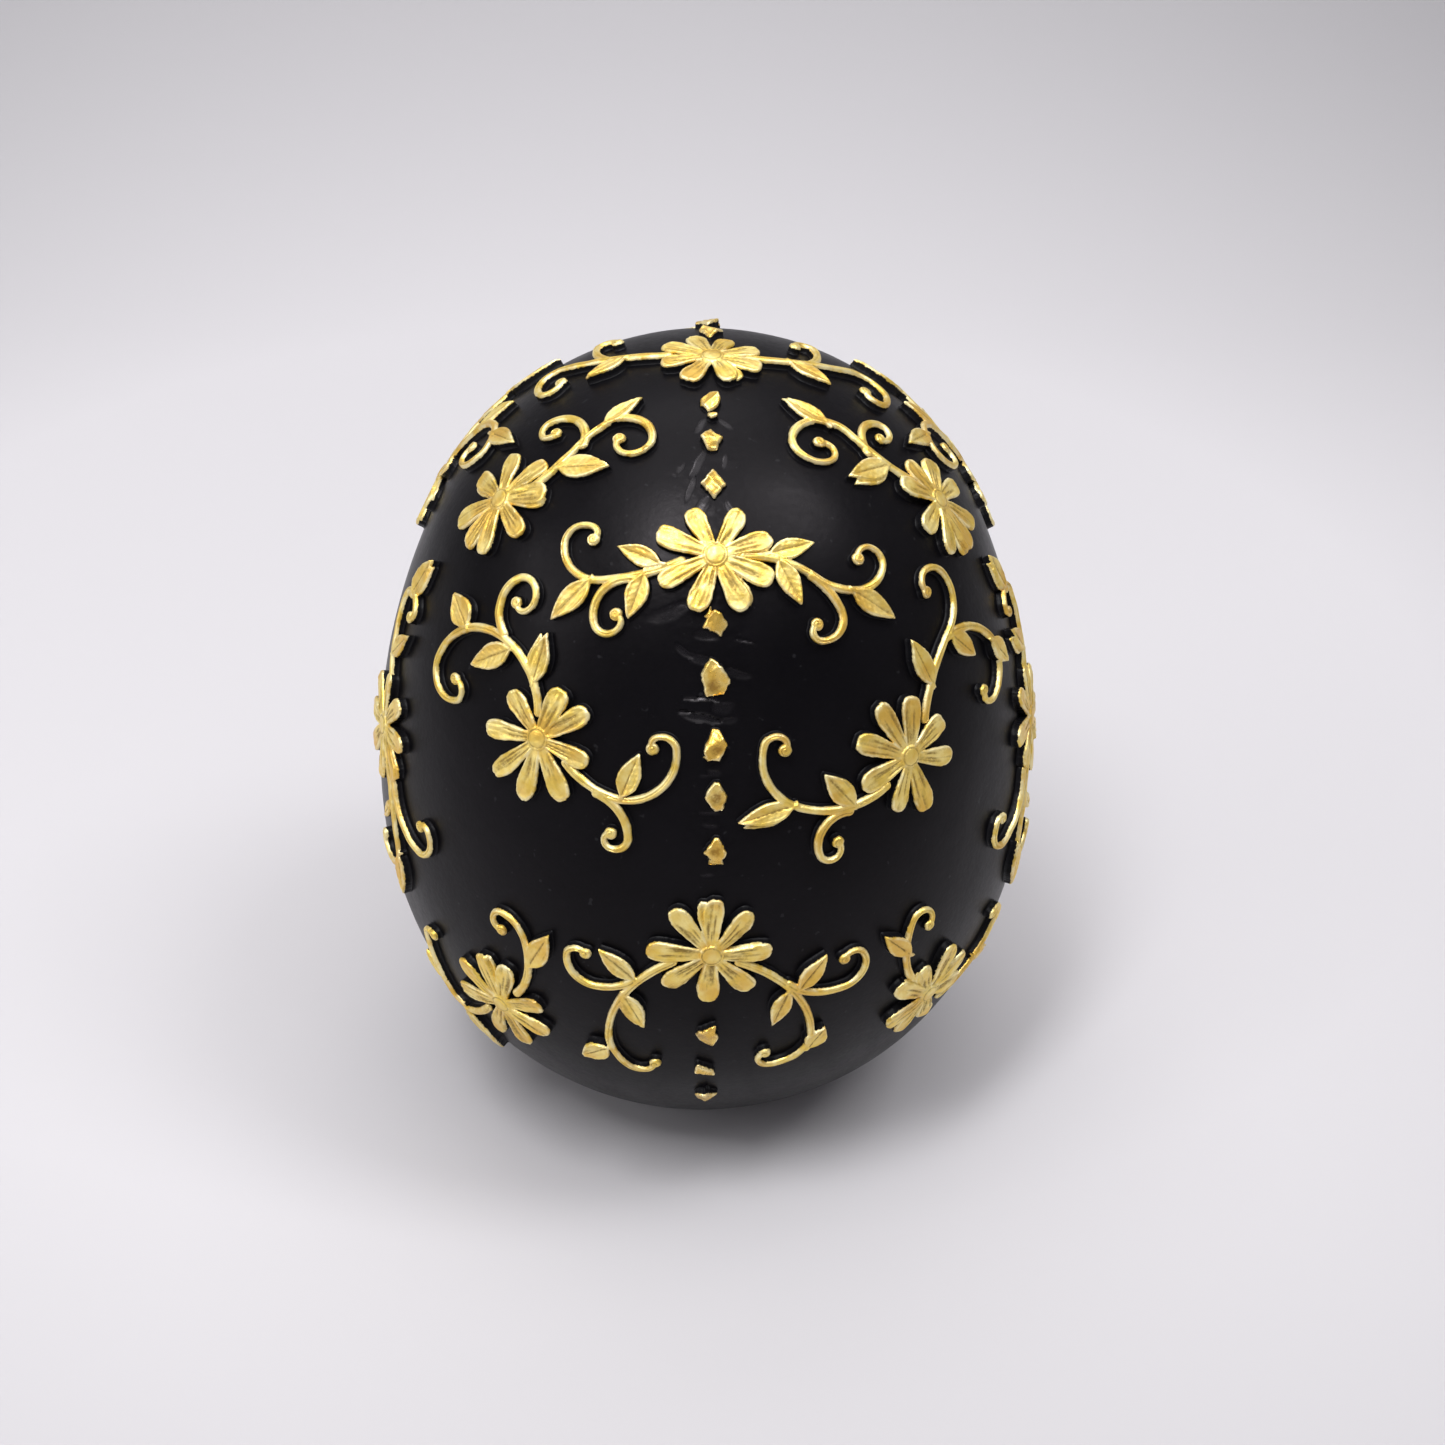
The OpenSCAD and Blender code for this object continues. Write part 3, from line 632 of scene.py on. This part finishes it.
class Tree:
    """A new material, and short calls for building its node tree."""

    def __init__(self, name):
        self.mat = bpy.data.materials.new(name)
        self.mat.use_nodes = True
        self.nt = self.mat.node_tree
        self.nt.nodes.clear()
        out = self.add("ShaderNodeOutputMaterial")
        self.bsdf = self.add("ShaderNodeBsdfPrincipled")
        self.nt.links.new(self.bsdf.outputs[0], out.inputs[0])
        self.place = self.add("ShaderNodeTexCoord").outputs["Object"]

    def add(self, kind, **settings):
        n = self.nt.nodes.new(kind)
        for k, v in settings.items():
            setattr(n, k, v)
        return n

    def set(self, socket, value):
        if isinstance(value, bpy.types.NodeSocket):
            self.nt.links.new(value, socket)
        elif value is not None:
            socket.default_value = value

    def shade(self, title, value):
        self.set(self.bsdf.inputs[title], value)

    def noise(self, scale, detail=4.0, rough=0.55, stretch=None, distortion=0.0):
        n = self.add("ShaderNodeTexNoise")
        n.inputs["Scale"].default_value = scale
        n.inputs["Detail"].default_value = detail
        n.inputs["Roughness"].default_value = rough
        n.inputs["Distortion"].default_value = distortion
        place = self.place
        if stretch:
            m = self.add("ShaderNodeMapping")
            m.inputs["Scale"].default_value = stretch
            self.set(m.inputs["Vector"], place)
            place = m.outputs[0]
        self.set(n.inputs["Vector"], place)
        return n.outputs["Fac"]

    def math(self, operation, a, b=None):
        n = self.add("ShaderNodeMath", operation=operation)
        self.set(n.inputs[0], a)
        self.set(n.inputs[1], b)
        return n.outputs[0]

    def span(self, value, low, high, to_low=0.0, to_high=1.0):
        n = self.add("ShaderNodeMapRange", clamp=True)
        for k, v in enumerate((value, low, high, to_low, to_high)):
            self.set(n.inputs[k], v)
        return n.outputs[0]

    def mix(self, fac, a, b):
        n = self.add("ShaderNodeMix", data_type="RGBA")
        self.set(n.inputs[0], fac)
        self.set(n.inputs[6], a)
        self.set(n.inputs[7], b)
        return n.outputs[2]

    def attribute(self, name):
        return self.add("ShaderNodeAttribute", attribute_name=name).outputs["Fac"]

    def bump(self, height, distance, strength, normal=None):
        n = self.add("ShaderNodeBump")
        n.inputs["Strength"].default_value = strength
        n.inputs["Distance"].default_value = distance
        self.set(n.inputs["Height"], height)
        if normal is not None:
            self.set(n.inputs["Normal"], normal)
        return n.outputs[0]


def black_paint():
    """Satin black paint with faint brushed unevenness, dust and rubbed patches."""
    t = Tree("satin_black")
    cloud = t.noise(38, 3, 0.5)
    smear = t.noise(55, 4, 0.6, (1.0, 1.0, 0.3), 1.2)
    grain = t.noise(1100, 3, 0.6)
    fleck = t.noise(420, 2, 0.5)
    dust = t.span(t.noise(700, 1, 0.5), 0.73, 0.78)
    tone = t.mix(t.span(cloud, 0.35, 0.7), *BLACK_TONES)
    t.shade("Base Color", t.mix(dust, tone, DUST_TONE))
    rough = t.span(t.math("ADD", smear, t.math("MULTIPLY", grain, 0.6)), 0.55, 1.05, 0.31, 0.43)
    cut = t.attribute("cut")
    polished = t.math("MULTIPLY", cut, 0.1)
    t.shade("Roughness", t.math("SUBTRACT", rough, polished))
    n = t.bump(fleck, 0.00006, 0.5)
    t.shade("Normal", t.bump(grain, 0.00004, 0.6, n))
    t.shade("Specular Tint", BLACK_TINT)
    t.shade("Specular IOR Level", t.span(cut, 0.3, 1, BLACK_SHEEN, CUT_SHEEN))
    return t.mat


def gilding(name, amber, dark_tone, light, bright, rough_low=0.3, rough_high=0.5):
    """Bronze-gold paint on the tops, darker in the grooves, black on the side walls, with a painted
    highlight in patches along the tops' edges. amber = share of the deep tone.
    """
    t = Tree(name)
    gilt, groove, inset = t.attribute("gilt"), t.attribute("groove"), t.attribute("inset")
    blotch = t.noise(300, 4, 0.6)
    grain = t.noise(1700, 3, 0.6)
    tone = t.noise(120, 3, 0.55)
    pale = t.mix(t.span(blotch, 0.38, 0.62), light, bright)
    deep = t.span(tone, 0.64 - amber, 0.8 - amber, 0.0, 0.85)
    warm = t.mix(deep, pale, DEEP_GOLD)
    # The gold is darker in the grooves, pressed lines and pits, as far as the groove attribute says
    groove_dark = t.math("MULTIPLY", groove, t.span(grain, 0.3, 0.6, 0.4, 1.0))
    gold = t.mix(t.span(groove_dark, 0.12, 0.8, 0.0, 0.8), warm, dark_tone)
    # Painted highlight: pale gold in patches near each top's edge
    edge_highlight = t.math("MULTIPLY", t.span(inset, 0.18, 0.5, 1.0, 0.0), t.span(blotch, 0.4, 0.6))
    gold = t.mix(t.math("MULTIPLY", edge_highlight, 0.7), gold, EDGE_HIGHLIGHT_GOLD)
    edge = t.math("ADD", gilt, t.math("MULTIPLY", t.math("SUBTRACT", grain, 0.5), 0.8))
    mask = t.span(edge, 0.52, 0.62)
    t.shade("Base Color", t.mix(mask, WALL_TONE, gold))
    t.shade("Metallic", t.math("MULTIPLY", mask, GOLD_METAL))
    t.shade("Specular IOR Level", t.span(mask, 0, 1, WALL_SHEEN, 0.5))
    t.shade("Coat Weight", t.math("MULTIPLY", mask, GOLD_COAT))
    t.shade("Coat Roughness", 0.2)
    rough = t.span(t.math("ADD", grain, blotch), 0.75, 1.2, rough_low, rough_high)
    worn = t.math("ADD", rough, t.math("MULTIPLY", groove_dark, 0.25))
    t.shade("Roughness", t.span(mask, 0, 1, WALL_ROUGH, worn))
    n = t.bump(blotch, 0.00022, 0.6)
    t.shade("Normal", t.bump(grain, 0.00007, 0.7, n))
    return t.mat


def rubber():
    t = Tree("rubber")
    grain = t.noise(1800, 3, 0.6)
    t.shade("Base Color", t.mix(grain, *RUBBER_TONES))
    t.shade("Roughness", t.span(grain, 0.3, 0.7, 0.75, 0.9))
    t.shade("Normal", t.bump(grain, 0.00008, 0.5))
    return t.mat


BLACK, RUBBER = black_paint(), rubber()
GOLD = gilding("gilding", 0.19, (0.26, 0.17, 0.04, 1), (0.83, 0.59, 0.11, 1),
               (0.91, 0.74, 0.27, 1))
STUD_GOLD = gilding("stud_gilding", 0.3, (0.28, 0.14, 0.012, 1), (0.74, 0.48, 0.075, 1),
                    (0.92, 0.72, 0.25, 1), 0.2, 0.34)


# ---- Shell -----------------------------------------------------------------------------
def spaced(stops):
    """Values from stop to stop: each stop is (value, spacing after it)."""
    out = []
    for (a, step), (b, _) in zip(stops, stops[1:]):
        out += list(np.linspace(a, b, max(2, int(round((b - a) / step)) + 1))[:-1])
    return np.array(out + [stops[-1][0]])


def arc_mm(lean):
    """Distance down the shell from the crown's top to a lean given in degrees."""
    lean = np.radians(np.asarray(lean, float))
    down = np.minimum(lean, UP_JOIN) * CROWN_R
    down = down + np.clip(lean - UP_JOIN, 0, math.pi / 2 - UP_JOIN) * UP_R
    return down + np.clip(lean - math.pi / 2, 0, math.pi) * DN_R


# Cuts and rubbed flats where the joint was cleaned up, front only:
# (mm right, lean, heading, length, width, depth, burr)
CUTS = [
    (-1.5, 60.9, 175, 5.0, 2.2, 0.16, 0.03), (5.2, 61.8, -14, 4.2, 0.55, 0.16, 0.05),
    (-5.2, 63.2, -38, 4.2, 1.3, 0.22, 0.06), (-2.0, 64.6, -20, 6.0, 1.8, 0.24, 0.04),
    (3.8, 66.0, -16, 6.5, 1.5, 0.2, 0.04), (-2.4, 68.0, -3, 7.5, 0.8, 0.34, 0.1),
    (1.3, 68.5, 10, 4.6, 2.2, 0.2, 0.03), (-2.6, 69.3, -13, 8.6, 1.7, 0.4, 0.08),
    (-5.0, 69.0, -4, 3.6, 0.6, 0.2, 0.06), (2.6, 69.6, 2, 3.4, 1.3, 0.16, 0.03),
    (0.1, 73.6, -6, 2.8, 1.3, 0.2, 0.04), (-1.4, 74.0, 4, 3.2, 0.6, 0.12, 0.04),
    (-0.8, 77.0, -4, 4.4, 0.8, 0.12, 0.04), (-0.6, 78.0, -10, 3.4, 0.9, 0.16, 0.04),
    (-1.0, 82.2, 0, 3.0, 0.8, 0.08, 0.03), (-3.2, 29.5, 62, 7.0, 1.5, 0.14, 0.03),
    (-4.6, 34.5, 74, 6.0, 1.2, 0.12, 0.03), (-2.6, 37.5, 50, 5.0, 1.6, 0.14, 0.03),
    (-6.4, 31.0, 58, 4.0, 0.8, 0.08, 0.03), (2.9, 38.5, -64, 4.0, 1.0, 0.1, 0.03),
    (2.2, 20.5, -50, 4.0, 1.2, 0.12, 0.03), (-2.6, 21.0, 60, 4.5, 1.3, 0.12, 0.03),
    (1.6, 29.0, 80, 3.5, 0.9, 0.1, 0.03), (-8.5, 56.5, 30, 9.0, 2.4, 0.1, 0.02),
]


def unevenness(p, lean, front):
    """How far the shell's surface stands out of true, in mm: slow waves, and the cuts in front."""
    x, y, z = p[:, 0], p[:, 1], p[:, 2]
    wave = 0.05 * (noise(x / 13, z / 13, 1) + noise(y / 13, z / 13, 2))
    wave += 0.012 * (noise(x / 3.1, z / 3.1, 3) + noise(y / 3.1, z / 3.1, 4))
    down = arc_mm(np.degrees(lean))
    rub = front * np.exp(-(x / 5.5) ** 2) * np.clip((down - 15) / 10, 0, 1)
    rub = rub * np.clip((arc_mm(84) - down) / 15, 0, 1)
    wave += rub * (0.07 * noise(x / 2.4, down / 1.6, 5) + 0.03 * noise(x / 0.9, down / 0.6, 6))
    marked = 0.3 * rub
    for x0, at, head, length, width, depth, burr in CUTS:
        c, s_ = math.cos(math.radians(head)), math.sin(math.radians(head))
        u = (x - x0) * c - (down - arc_mm(at)) * s_
        v = ((x - x0) * s_ + (down - arc_mm(at)) * c) * -1
        v = v + 0.25 * noise(u / 2.5, u * 0 + x0, 7) + 0.02 * u * u / max(width, 0.6)
        taper = np.sqrt(np.clip(1 - (2 * u / length) ** 2, 0, 1)) * front
        q = v / (width * 0.62 * np.maximum(taper, 0.25))
        cut = np.clip(1 - np.where(q > 0, q / 0.45, -q / 1.55), 0, 1)
        edge = np.exp(-((q + 1.45) / 0.3) ** 2)
        cut = cut * (0.85 + 0.25 * noise(u / 1.9, v / 1.3, 9))
        wave = wave - 1.3 * taper * depth * cut ** 0.8 + 1.5 * taper * burr * edge
        marked = np.maximum(marked, taper * np.clip(cut * 3, 0, 1))
    return wave, marked


def half_shell(name, mirror):
    """One half of the shell: smooth outside, flat foot, plain inside, joint faces on X = 0."""
    foot = math.pi - math.asin(math.sqrt(BLUNT_R ** 2 - (DN_C - PAD_T) ** 2) / BLUNT_R)
    leans = np.radians(spaced([(0, 1), (12, 0.3), (65, 0.13), (84, 1), (math.degrees(foot), 1)]))
    r, z = egg_rz(leans)
    ri, zi = egg_rz(np.radians(np.linspace(0, 180, 61)), -WALL)
    keep = zi > PAD_T + WALL
    ri, zi = ri[keep], zi[keep]
    floor = PAD_T + WALL
    r_floor = math.sqrt((BLUNT_R - WALL) ** 2 - (DN_C - floor) ** 2)
    section = list(zip(r, z))
    outer = len(section)
    section += [(r[-1] * k, PAD_T) for k in (0.66, 0.33)] + [(0.0, PAD_T), (0.0, floor)]
    section += [(r_floor * 0.5, floor), (r_floor, floor)]
    section = np.array(section + list(zip(ri[::-1], zi[::-1])))
    section[0, 0] = 0.0
    azs = np.radians(spaced([(0, 0.25), (12, 1.5), (180, 1)]))
    rows, cols = len(section), len(azs)
    rr, aa = np.meshgrid(section[:, 0], azs, indexing="ij")
    zz = np.repeat(section[:, 1][:, None], cols, 1)
    sign = -1.0 if mirror else 1.0
    p = np.stack([sign * rr * np.sin(aa), -rr * np.cos(aa), zz], -1).reshape(-1, 3)
    skin = (np.arange(rows * cols) // cols) < outer - 2
    lean = np.repeat(np.r_[leans, np.zeros(rows - outer)], cols)[skin]
    around = np.tile(azs, rows)[skin]
    n = np.stack([sign * np.sin(lean) * np.sin(around), -np.sin(lean) * np.cos(around),
                  np.cos(lean)], 1)
    proud, marked = unevenness(p[skin], lean, (around < math.pi / 2) * 1.0)
    p[skin] += n * proud[:, None]
    cut = np.zeros(len(p))
    cut[skin] = marked
    grid = np.arange(rows * cols).reshape(rows, cols)
    nxt = np.roll(grid, -1, 0)
    quads = np.stack([grid[:, :-1], nxt[:, :-1], nxt[:, 1:], grid[:, 1:]], -1).reshape(-1, 4)
    if mirror:
        quads = quads[:, ::-1]
    me = bpy.data.meshes.new(name)
    caps = []
    ring = [Vector((section[k, 0], section[k, 1], 0)) for k in range(rows)]
    tris = np.array(tessellate_polygon([ring]))
    for col, back in ((0, False), (cols - 1, True)):
        c = grid[:, col][tris]
        q0, q1, q2 = (p[c[:, t]] for t in range(3))
        face_n = np.cross(q1 - q0, q2 - q0)[:, 0]
        caps.append(np.where((face_n * sign > 0)[:, None], c[:, ::-1], c))
    fill_mesh(me, p * MM, [quads] + caps)
    layer = me.attributes.new("cut", "FLOAT", "POINT")
    layer.data.foreach_set("value", cut.astype(np.float32))
    bm = bmesh.new()
    bm.from_mesh(me)
    bmesh.ops.remove_doubles(bm, verts=bm.verts, dist=1e-6)
    bmesh.ops.dissolve_degenerate(bm, dist=1e-7, edges=bm.edges)
    bmesh.ops.recalc_face_normals(bm, faces=bm.faces)
    bm.to_mesh(me)
    bm.free()
    me.shade_smooth()
    me.set_sharp_from_angle(angle=SHELL_CREASE)
    me.materials.append(BLACK)
    return me


piece("shell_left", half_shell("shell_left", True), "shell", "left_half_shell")
piece("shell_right", half_shell("shell_right", False), "shell", "right_half_shell")

# ---- Relief ----------------------------------------------------------------------------
PETAL_OVERLAP = 0.35  # how far a vine or leaf reaches under the petals, mm
for number, (name, az, lean, radius, turn, motif, flip) in enumerate(SPRAYS, 1):
    flower = flower_strokes(name, radius, turn, number)
    me = relief_mesh(name + "_petals", az, lean, flower)
    me.materials.append(GOLD)
    piece(name + "_petals", me, "gilding", name + "_flower")
    vines = vine_strokes(motif, flip, number)
    me = relief_mesh(name + "_sprig", az, lean, vines, (flower, PETAL_OVERLAP))
    me.materials.append(GOLD)
    piece(name + "_sprig", me, "gilding", name + "_vine")

# ---- Studs -----------------------------------------------------------------------------
# Each stud: lean, then its lumps as (corners, slope, hollow); x right, y up the shell
FRONT_STUDS = [
    (16, [([(-0.6, 2.2), (-2.3, 0.9), (-2.2, -0.6), (-0.8, -2.2), (0.8, -1.1), (1.3, 0.3), (0.7, 1.6)],
           (0.1, 0.1), None),
          ([(-1.0, -2.9), (-1.2, -3.6), (-0.5, -4.4), (0.6, -4.1), (0.7, -3.1)], (0.1, -0.1), None)]),
    (25, [([(-0.6, 2.4), (-2.5, 0.5), (-1.2, -2.2), (0.4, -2.0), (1.4, 0.4), (-0.1, 1.7)],
           (-0.1, 0.05), None)]),
    (34, [([(-0.2, 2.9), (-2.4, 0), (-0.1, -2.8), (2.1, 0.2)], (-0.06, 0.05), None)]),
    (58.5, [([(-0.2, 2.6), (-1.3, 1.1), (-2.1, -0.8), (1.0, -2.3), (2.4, -0.3), (1.3, 1.1)],
             (-0.05, 0.08), None),
            ([(-0.9, 2.9), (-1.2, 1.9), (-1.9, 1.1), (-1.5, 0.9), (-0.7, 1.9)], (0.0, 0.1), None)]),
    (66.5, [([(-0.9, 3.7), (0.5, 2.9), (2.1, 0.9), (2.8, -0.3), (1.7, -2.9), (-1.6, -3.2),
              (-2.0, -1.2), (-2.5, 0.7), (-1.8, 2.6)], (0.06, 0.1), (-0.3, -1.3, 1.3, 0.4))]),
    (71.5, [([(-0.3, 2.9), (0.9, 2.7), (2.4, -0.1), (0.9, -2.8), (-1.2, -2.6), (-1.9, -1.4),
              (-1.9, -0.4), (-1.2, 1.1)], (0.05, -0.08), (0.5, -0.8, 1.1, 0.35)),
            ([(-1.5, -1.7), (-2.1, -2.2), (-1.2, -3.0), (-0.3, -2.6)], (0.1, 0.1), None)]),
    (75.5, [([(0.0, 3.0), (1.0, 2.9), (2.3, -0.1), (1.5, -2.8), (0.2, -2.9), (-1.6, -0.1),
              (-1.1, 1.3)], (-0.08, 0.03), (0.4, -0.2, 1.1, 0.3))]),
    (80, [([(0.3, 2.8), (1.0, 2.7), (2.4, 0.0), (1.7, -1.4), (1.8, -2.7), (-0.9, -2.6), (-0.6, -1.5),
            (-1.6, -0.1), (-1.2, 1.1)], (0.04, 0.08), (0.4, 0.3, 1.0, 0.25))]),
    (102, [([(1.1, 3.2), (-0.2, 2.6), (-2.1, 1.5), (-2.6, -0.3), (-1.8, -2.0), (-0.2, -2.6),
             (0.6, -3.6), (1.1, -2.3), (1.6, 0.0), (1.1, 1.7)], (0.05, 0.08), None)]),
    (109.5, [([(-2.2, 2.7), (-0.8, 1.9), (0.9, 0.9), (1.4, -0.7), (0.6, -2.0), (-0.8, -2.6),
               (-2.3, -1.2), (-2.7, 0.7)], (0.0, 0.1), None)]),
    (119, [([(-2.2, 0.0), (-1.5, 1.4), (-0.3, 1.6), (0.1, 2.6), (0.6, 1.2), (2.1, 0.4), (0.9, -1.4),
             (-0.8, -2.3), (-1.8, -1.6)], (0.0, 0.05), None)]),
]
BACK_LEANS = [11, 20, 29, 58.5, 66.5, 71.5, 75.5, 80, 102, 109.5, 119]


def plain_stud(rng):
    """A hand-cut diamond, no two alike."""
    a, b, c, e = rng.normal(0, 0.25, 4)
    flat = rng.uniform(0.2, 0.5)
    return [(-flat, 2.7 + a), (-2.1 + b, c), (-flat, -2.7 - e), (flat, -2.7), (2.1 + c, a), (flat, 2.8)]


def stud_row(name, az, studs, seed):
    parts = bmesh.new()
    for k, (lean, lumps) in enumerate(studs):
        strokes = [Lump(c, seed + 7 * k + j, -CRUMB_DROP * j, slope, hollow)
                   for j, (c, slope, hollow) in enumerate(lumps)]
        parts.from_mesh(relief_mesh(name, az, lean, strokes))
    me = bpy.data.meshes.new(name)
    parts.to_mesh(me)
    parts.free()
    me.materials.append(STUD_GOLD)
    return me


stud_rng = np.random.default_rng(5)
BACK_STUDS = [(lean, [(plain_stud(stud_rng), tuple(stud_rng.normal(0, 0.06, 2)), None)])
              for lean in BACK_LEANS]
piece("front_studs", stud_row("front_studs", 0, FRONT_STUDS, 80), "gilding", "front_stud_row")
piece("back_studs", stud_row("back_studs", 180, BACK_STUDS, 60), "gilding", "back_stud_row")

# ---- Foot pad --------------------------------------------------------------------------
pad = bpy.data.objects["rubber_pad"]
if pad.material_slots:
    for s in pad.material_slots:
        s.material = RUBBER
else:
    pad.data.materials.append(RUBBER)


# ---- Floor, light and camera -----------------------------------------------------------
def stage_material():
    """Pale paper with painted shade: its colour darkens the farther it lies from the lit place."""
    t = Tree("sweep")
    far = t.add("ShaderNodeVectorMath", operation="DISTANCE")
    t.set(far.inputs[0], t.place)
    far.inputs[1].default_value = LIT_PLACE
    # Painted shade: the distance from the lit place sets how far the colour goes towards the darker far
    # tone
    shade = t.span(far.outputs["Value"], *LIT_RADII)
    t.shade("Base Color", t.mix(shade, FLOOR_NEAR, FLOOR_PAINTED_SHADE))
    t.shade("Roughness", 0.9)
    t.shade("Specular IOR Level", 0.2)
    return t.mat


def rounded_rim(inset, half_width=1.8, front=-1.8, rear=0.81, corner=0.6):
    """Plan of the backdrop's wall, moved inwards by inset."""
    x, r = half_width - corner, corner - inset
    centres = [(x, front + corner), (x, rear - corner), (-x, rear - corner), (-x, front + corner)]
    return [(cx + r * math.cos(a), cy + r * math.sin(a))
            for k, (cx, cy) in enumerate(centres)
            for a in np.radians(np.linspace(90 * k - 90, 90 * k, 13))]


def sweep(radius=0.45, height=3.0):
    """A floor that curves up into a wall all round; the wall behind the object is the nearest."""
    profile = [(radius + 0.05, 0.0)]
    profile += [(radius - radius * math.sin(a), radius - radius * math.cos(a))
                for a in np.radians(np.linspace(0, 90, 25))]
    profile.append((0.0, height))
    rims = [[(x, y, z) for x, y in rounded_rim(inset)] for inset, z in profile]
    count = len(rims[0])
    faces = [tuple(range(count))]
    for k in range(len(rims) - 1):
        for i in range(count):
            j = (i + 1) % count
            faces.append((k * count + i, (k + 1) * count + i, (k + 1) * count + j, k * count + j))
    me = bpy.data.meshes.new("sweep")
    me.from_pydata([p for rim in rims for p in rim], [], faces)
    me.materials.append(stage_material())
    me.shade_smooth()
    ob = bpy.data.objects.new("sweep", me)
    bpy.context.scene.collection.objects.link(ob)


sweep()

LIGHT_TARGET = (0, 0, 0.06)
# name: place in m, what it points at, its two sides in m, power in W
SOFT_BOXES = {
    "overhead_left": ((-0.5, -0.85, 1.85), LIGHT_TARGET, (0.36, 0.85), 21.5),
    "overhead_right": ((1.0, -0.35, 1.85), LIGHT_TARGET, (0.5, 0.75), 12.5),
    "ceiling": ((0.0, -0.5, 2.2), LIGHT_TARGET, (2.4, 2.2), 35),
    "rear": ((-0.1, 0.62, 1.35), (0, 0, 0.1), (1.1, 0.5), 3.8),
    "window_left": ((-1.7, -0.5, 0.75), LIGHT_TARGET, (1.2, 1.0), 12),
}
for name, (place, target, (width, depth), power) in SOFT_BOXES.items():
    light = bpy.data.lights.new(name, "AREA")
    light.shape, light.size, light.size_y = "RECTANGLE", width, depth
    light.energy = power
    ob = bpy.data.objects.new(name, light)
    ob.location = place
    ob.rotation_euler = (Vector(target) - Vector(place)).to_track_quat("-Z", "Y").to_euler()
    bpy.context.scene.collection.objects.link(ob)

WORLD_COLOUR, WORLD_STRENGTH = (0.96, 0.95, 1.0, 1), 0.15
world = bpy.data.worlds.new("studio")
world.use_nodes = True
world.node_tree.nodes["Background"].inputs["Color"].default_value = WORLD_COLOUR
world.node_tree.nodes["Background"].inputs["Strength"].default_value = WORLD_STRENGTH
bpy.context.scene.world = world

# Where the camera stands as seen from the point it aims at (m), its roll, then that point:
# m to the camera's right of the egg's axis, and m above the table
AZ, EL, DIST, ROLL = math.radians(-2.3), math.radians(33), 0.520, math.radians(1.35)
AIM_SIDE, AIM_HEIGHT = 0.00365, 0.0796
SENSOR_MM, LENS_MM = 36.0, 64.4
back = Vector((math.sin(AZ) * math.cos(EL), -math.cos(AZ) * math.cos(EL), math.sin(EL)))
right = Vector((math.cos(AZ), math.sin(AZ), 0))
aim = right * AIM_SIDE + Vector((0, 0, AIM_HEIGHT))
up = back.cross(right)
right, up = right * math.cos(ROLL) + up * math.sin(ROLL), up * math.cos(ROLL) - right * math.sin(ROLL)
cam_data = bpy.data.cameras.new("camera")
cam_data.sensor_width, cam_data.lens = SENSOR_MM, LENS_MM
cam = bpy.data.objects.new("camera", cam_data)
turn = Matrix((right, up, back)).transposed().to_4x4()
cam.matrix_world = Matrix.Translation(aim + back * DIST) @ turn
bpy.context.scene.collection.objects.link(cam)
bpy.context.scene.camera = cam
bpy.context.scene.view_settings.view_transform = "Standard"
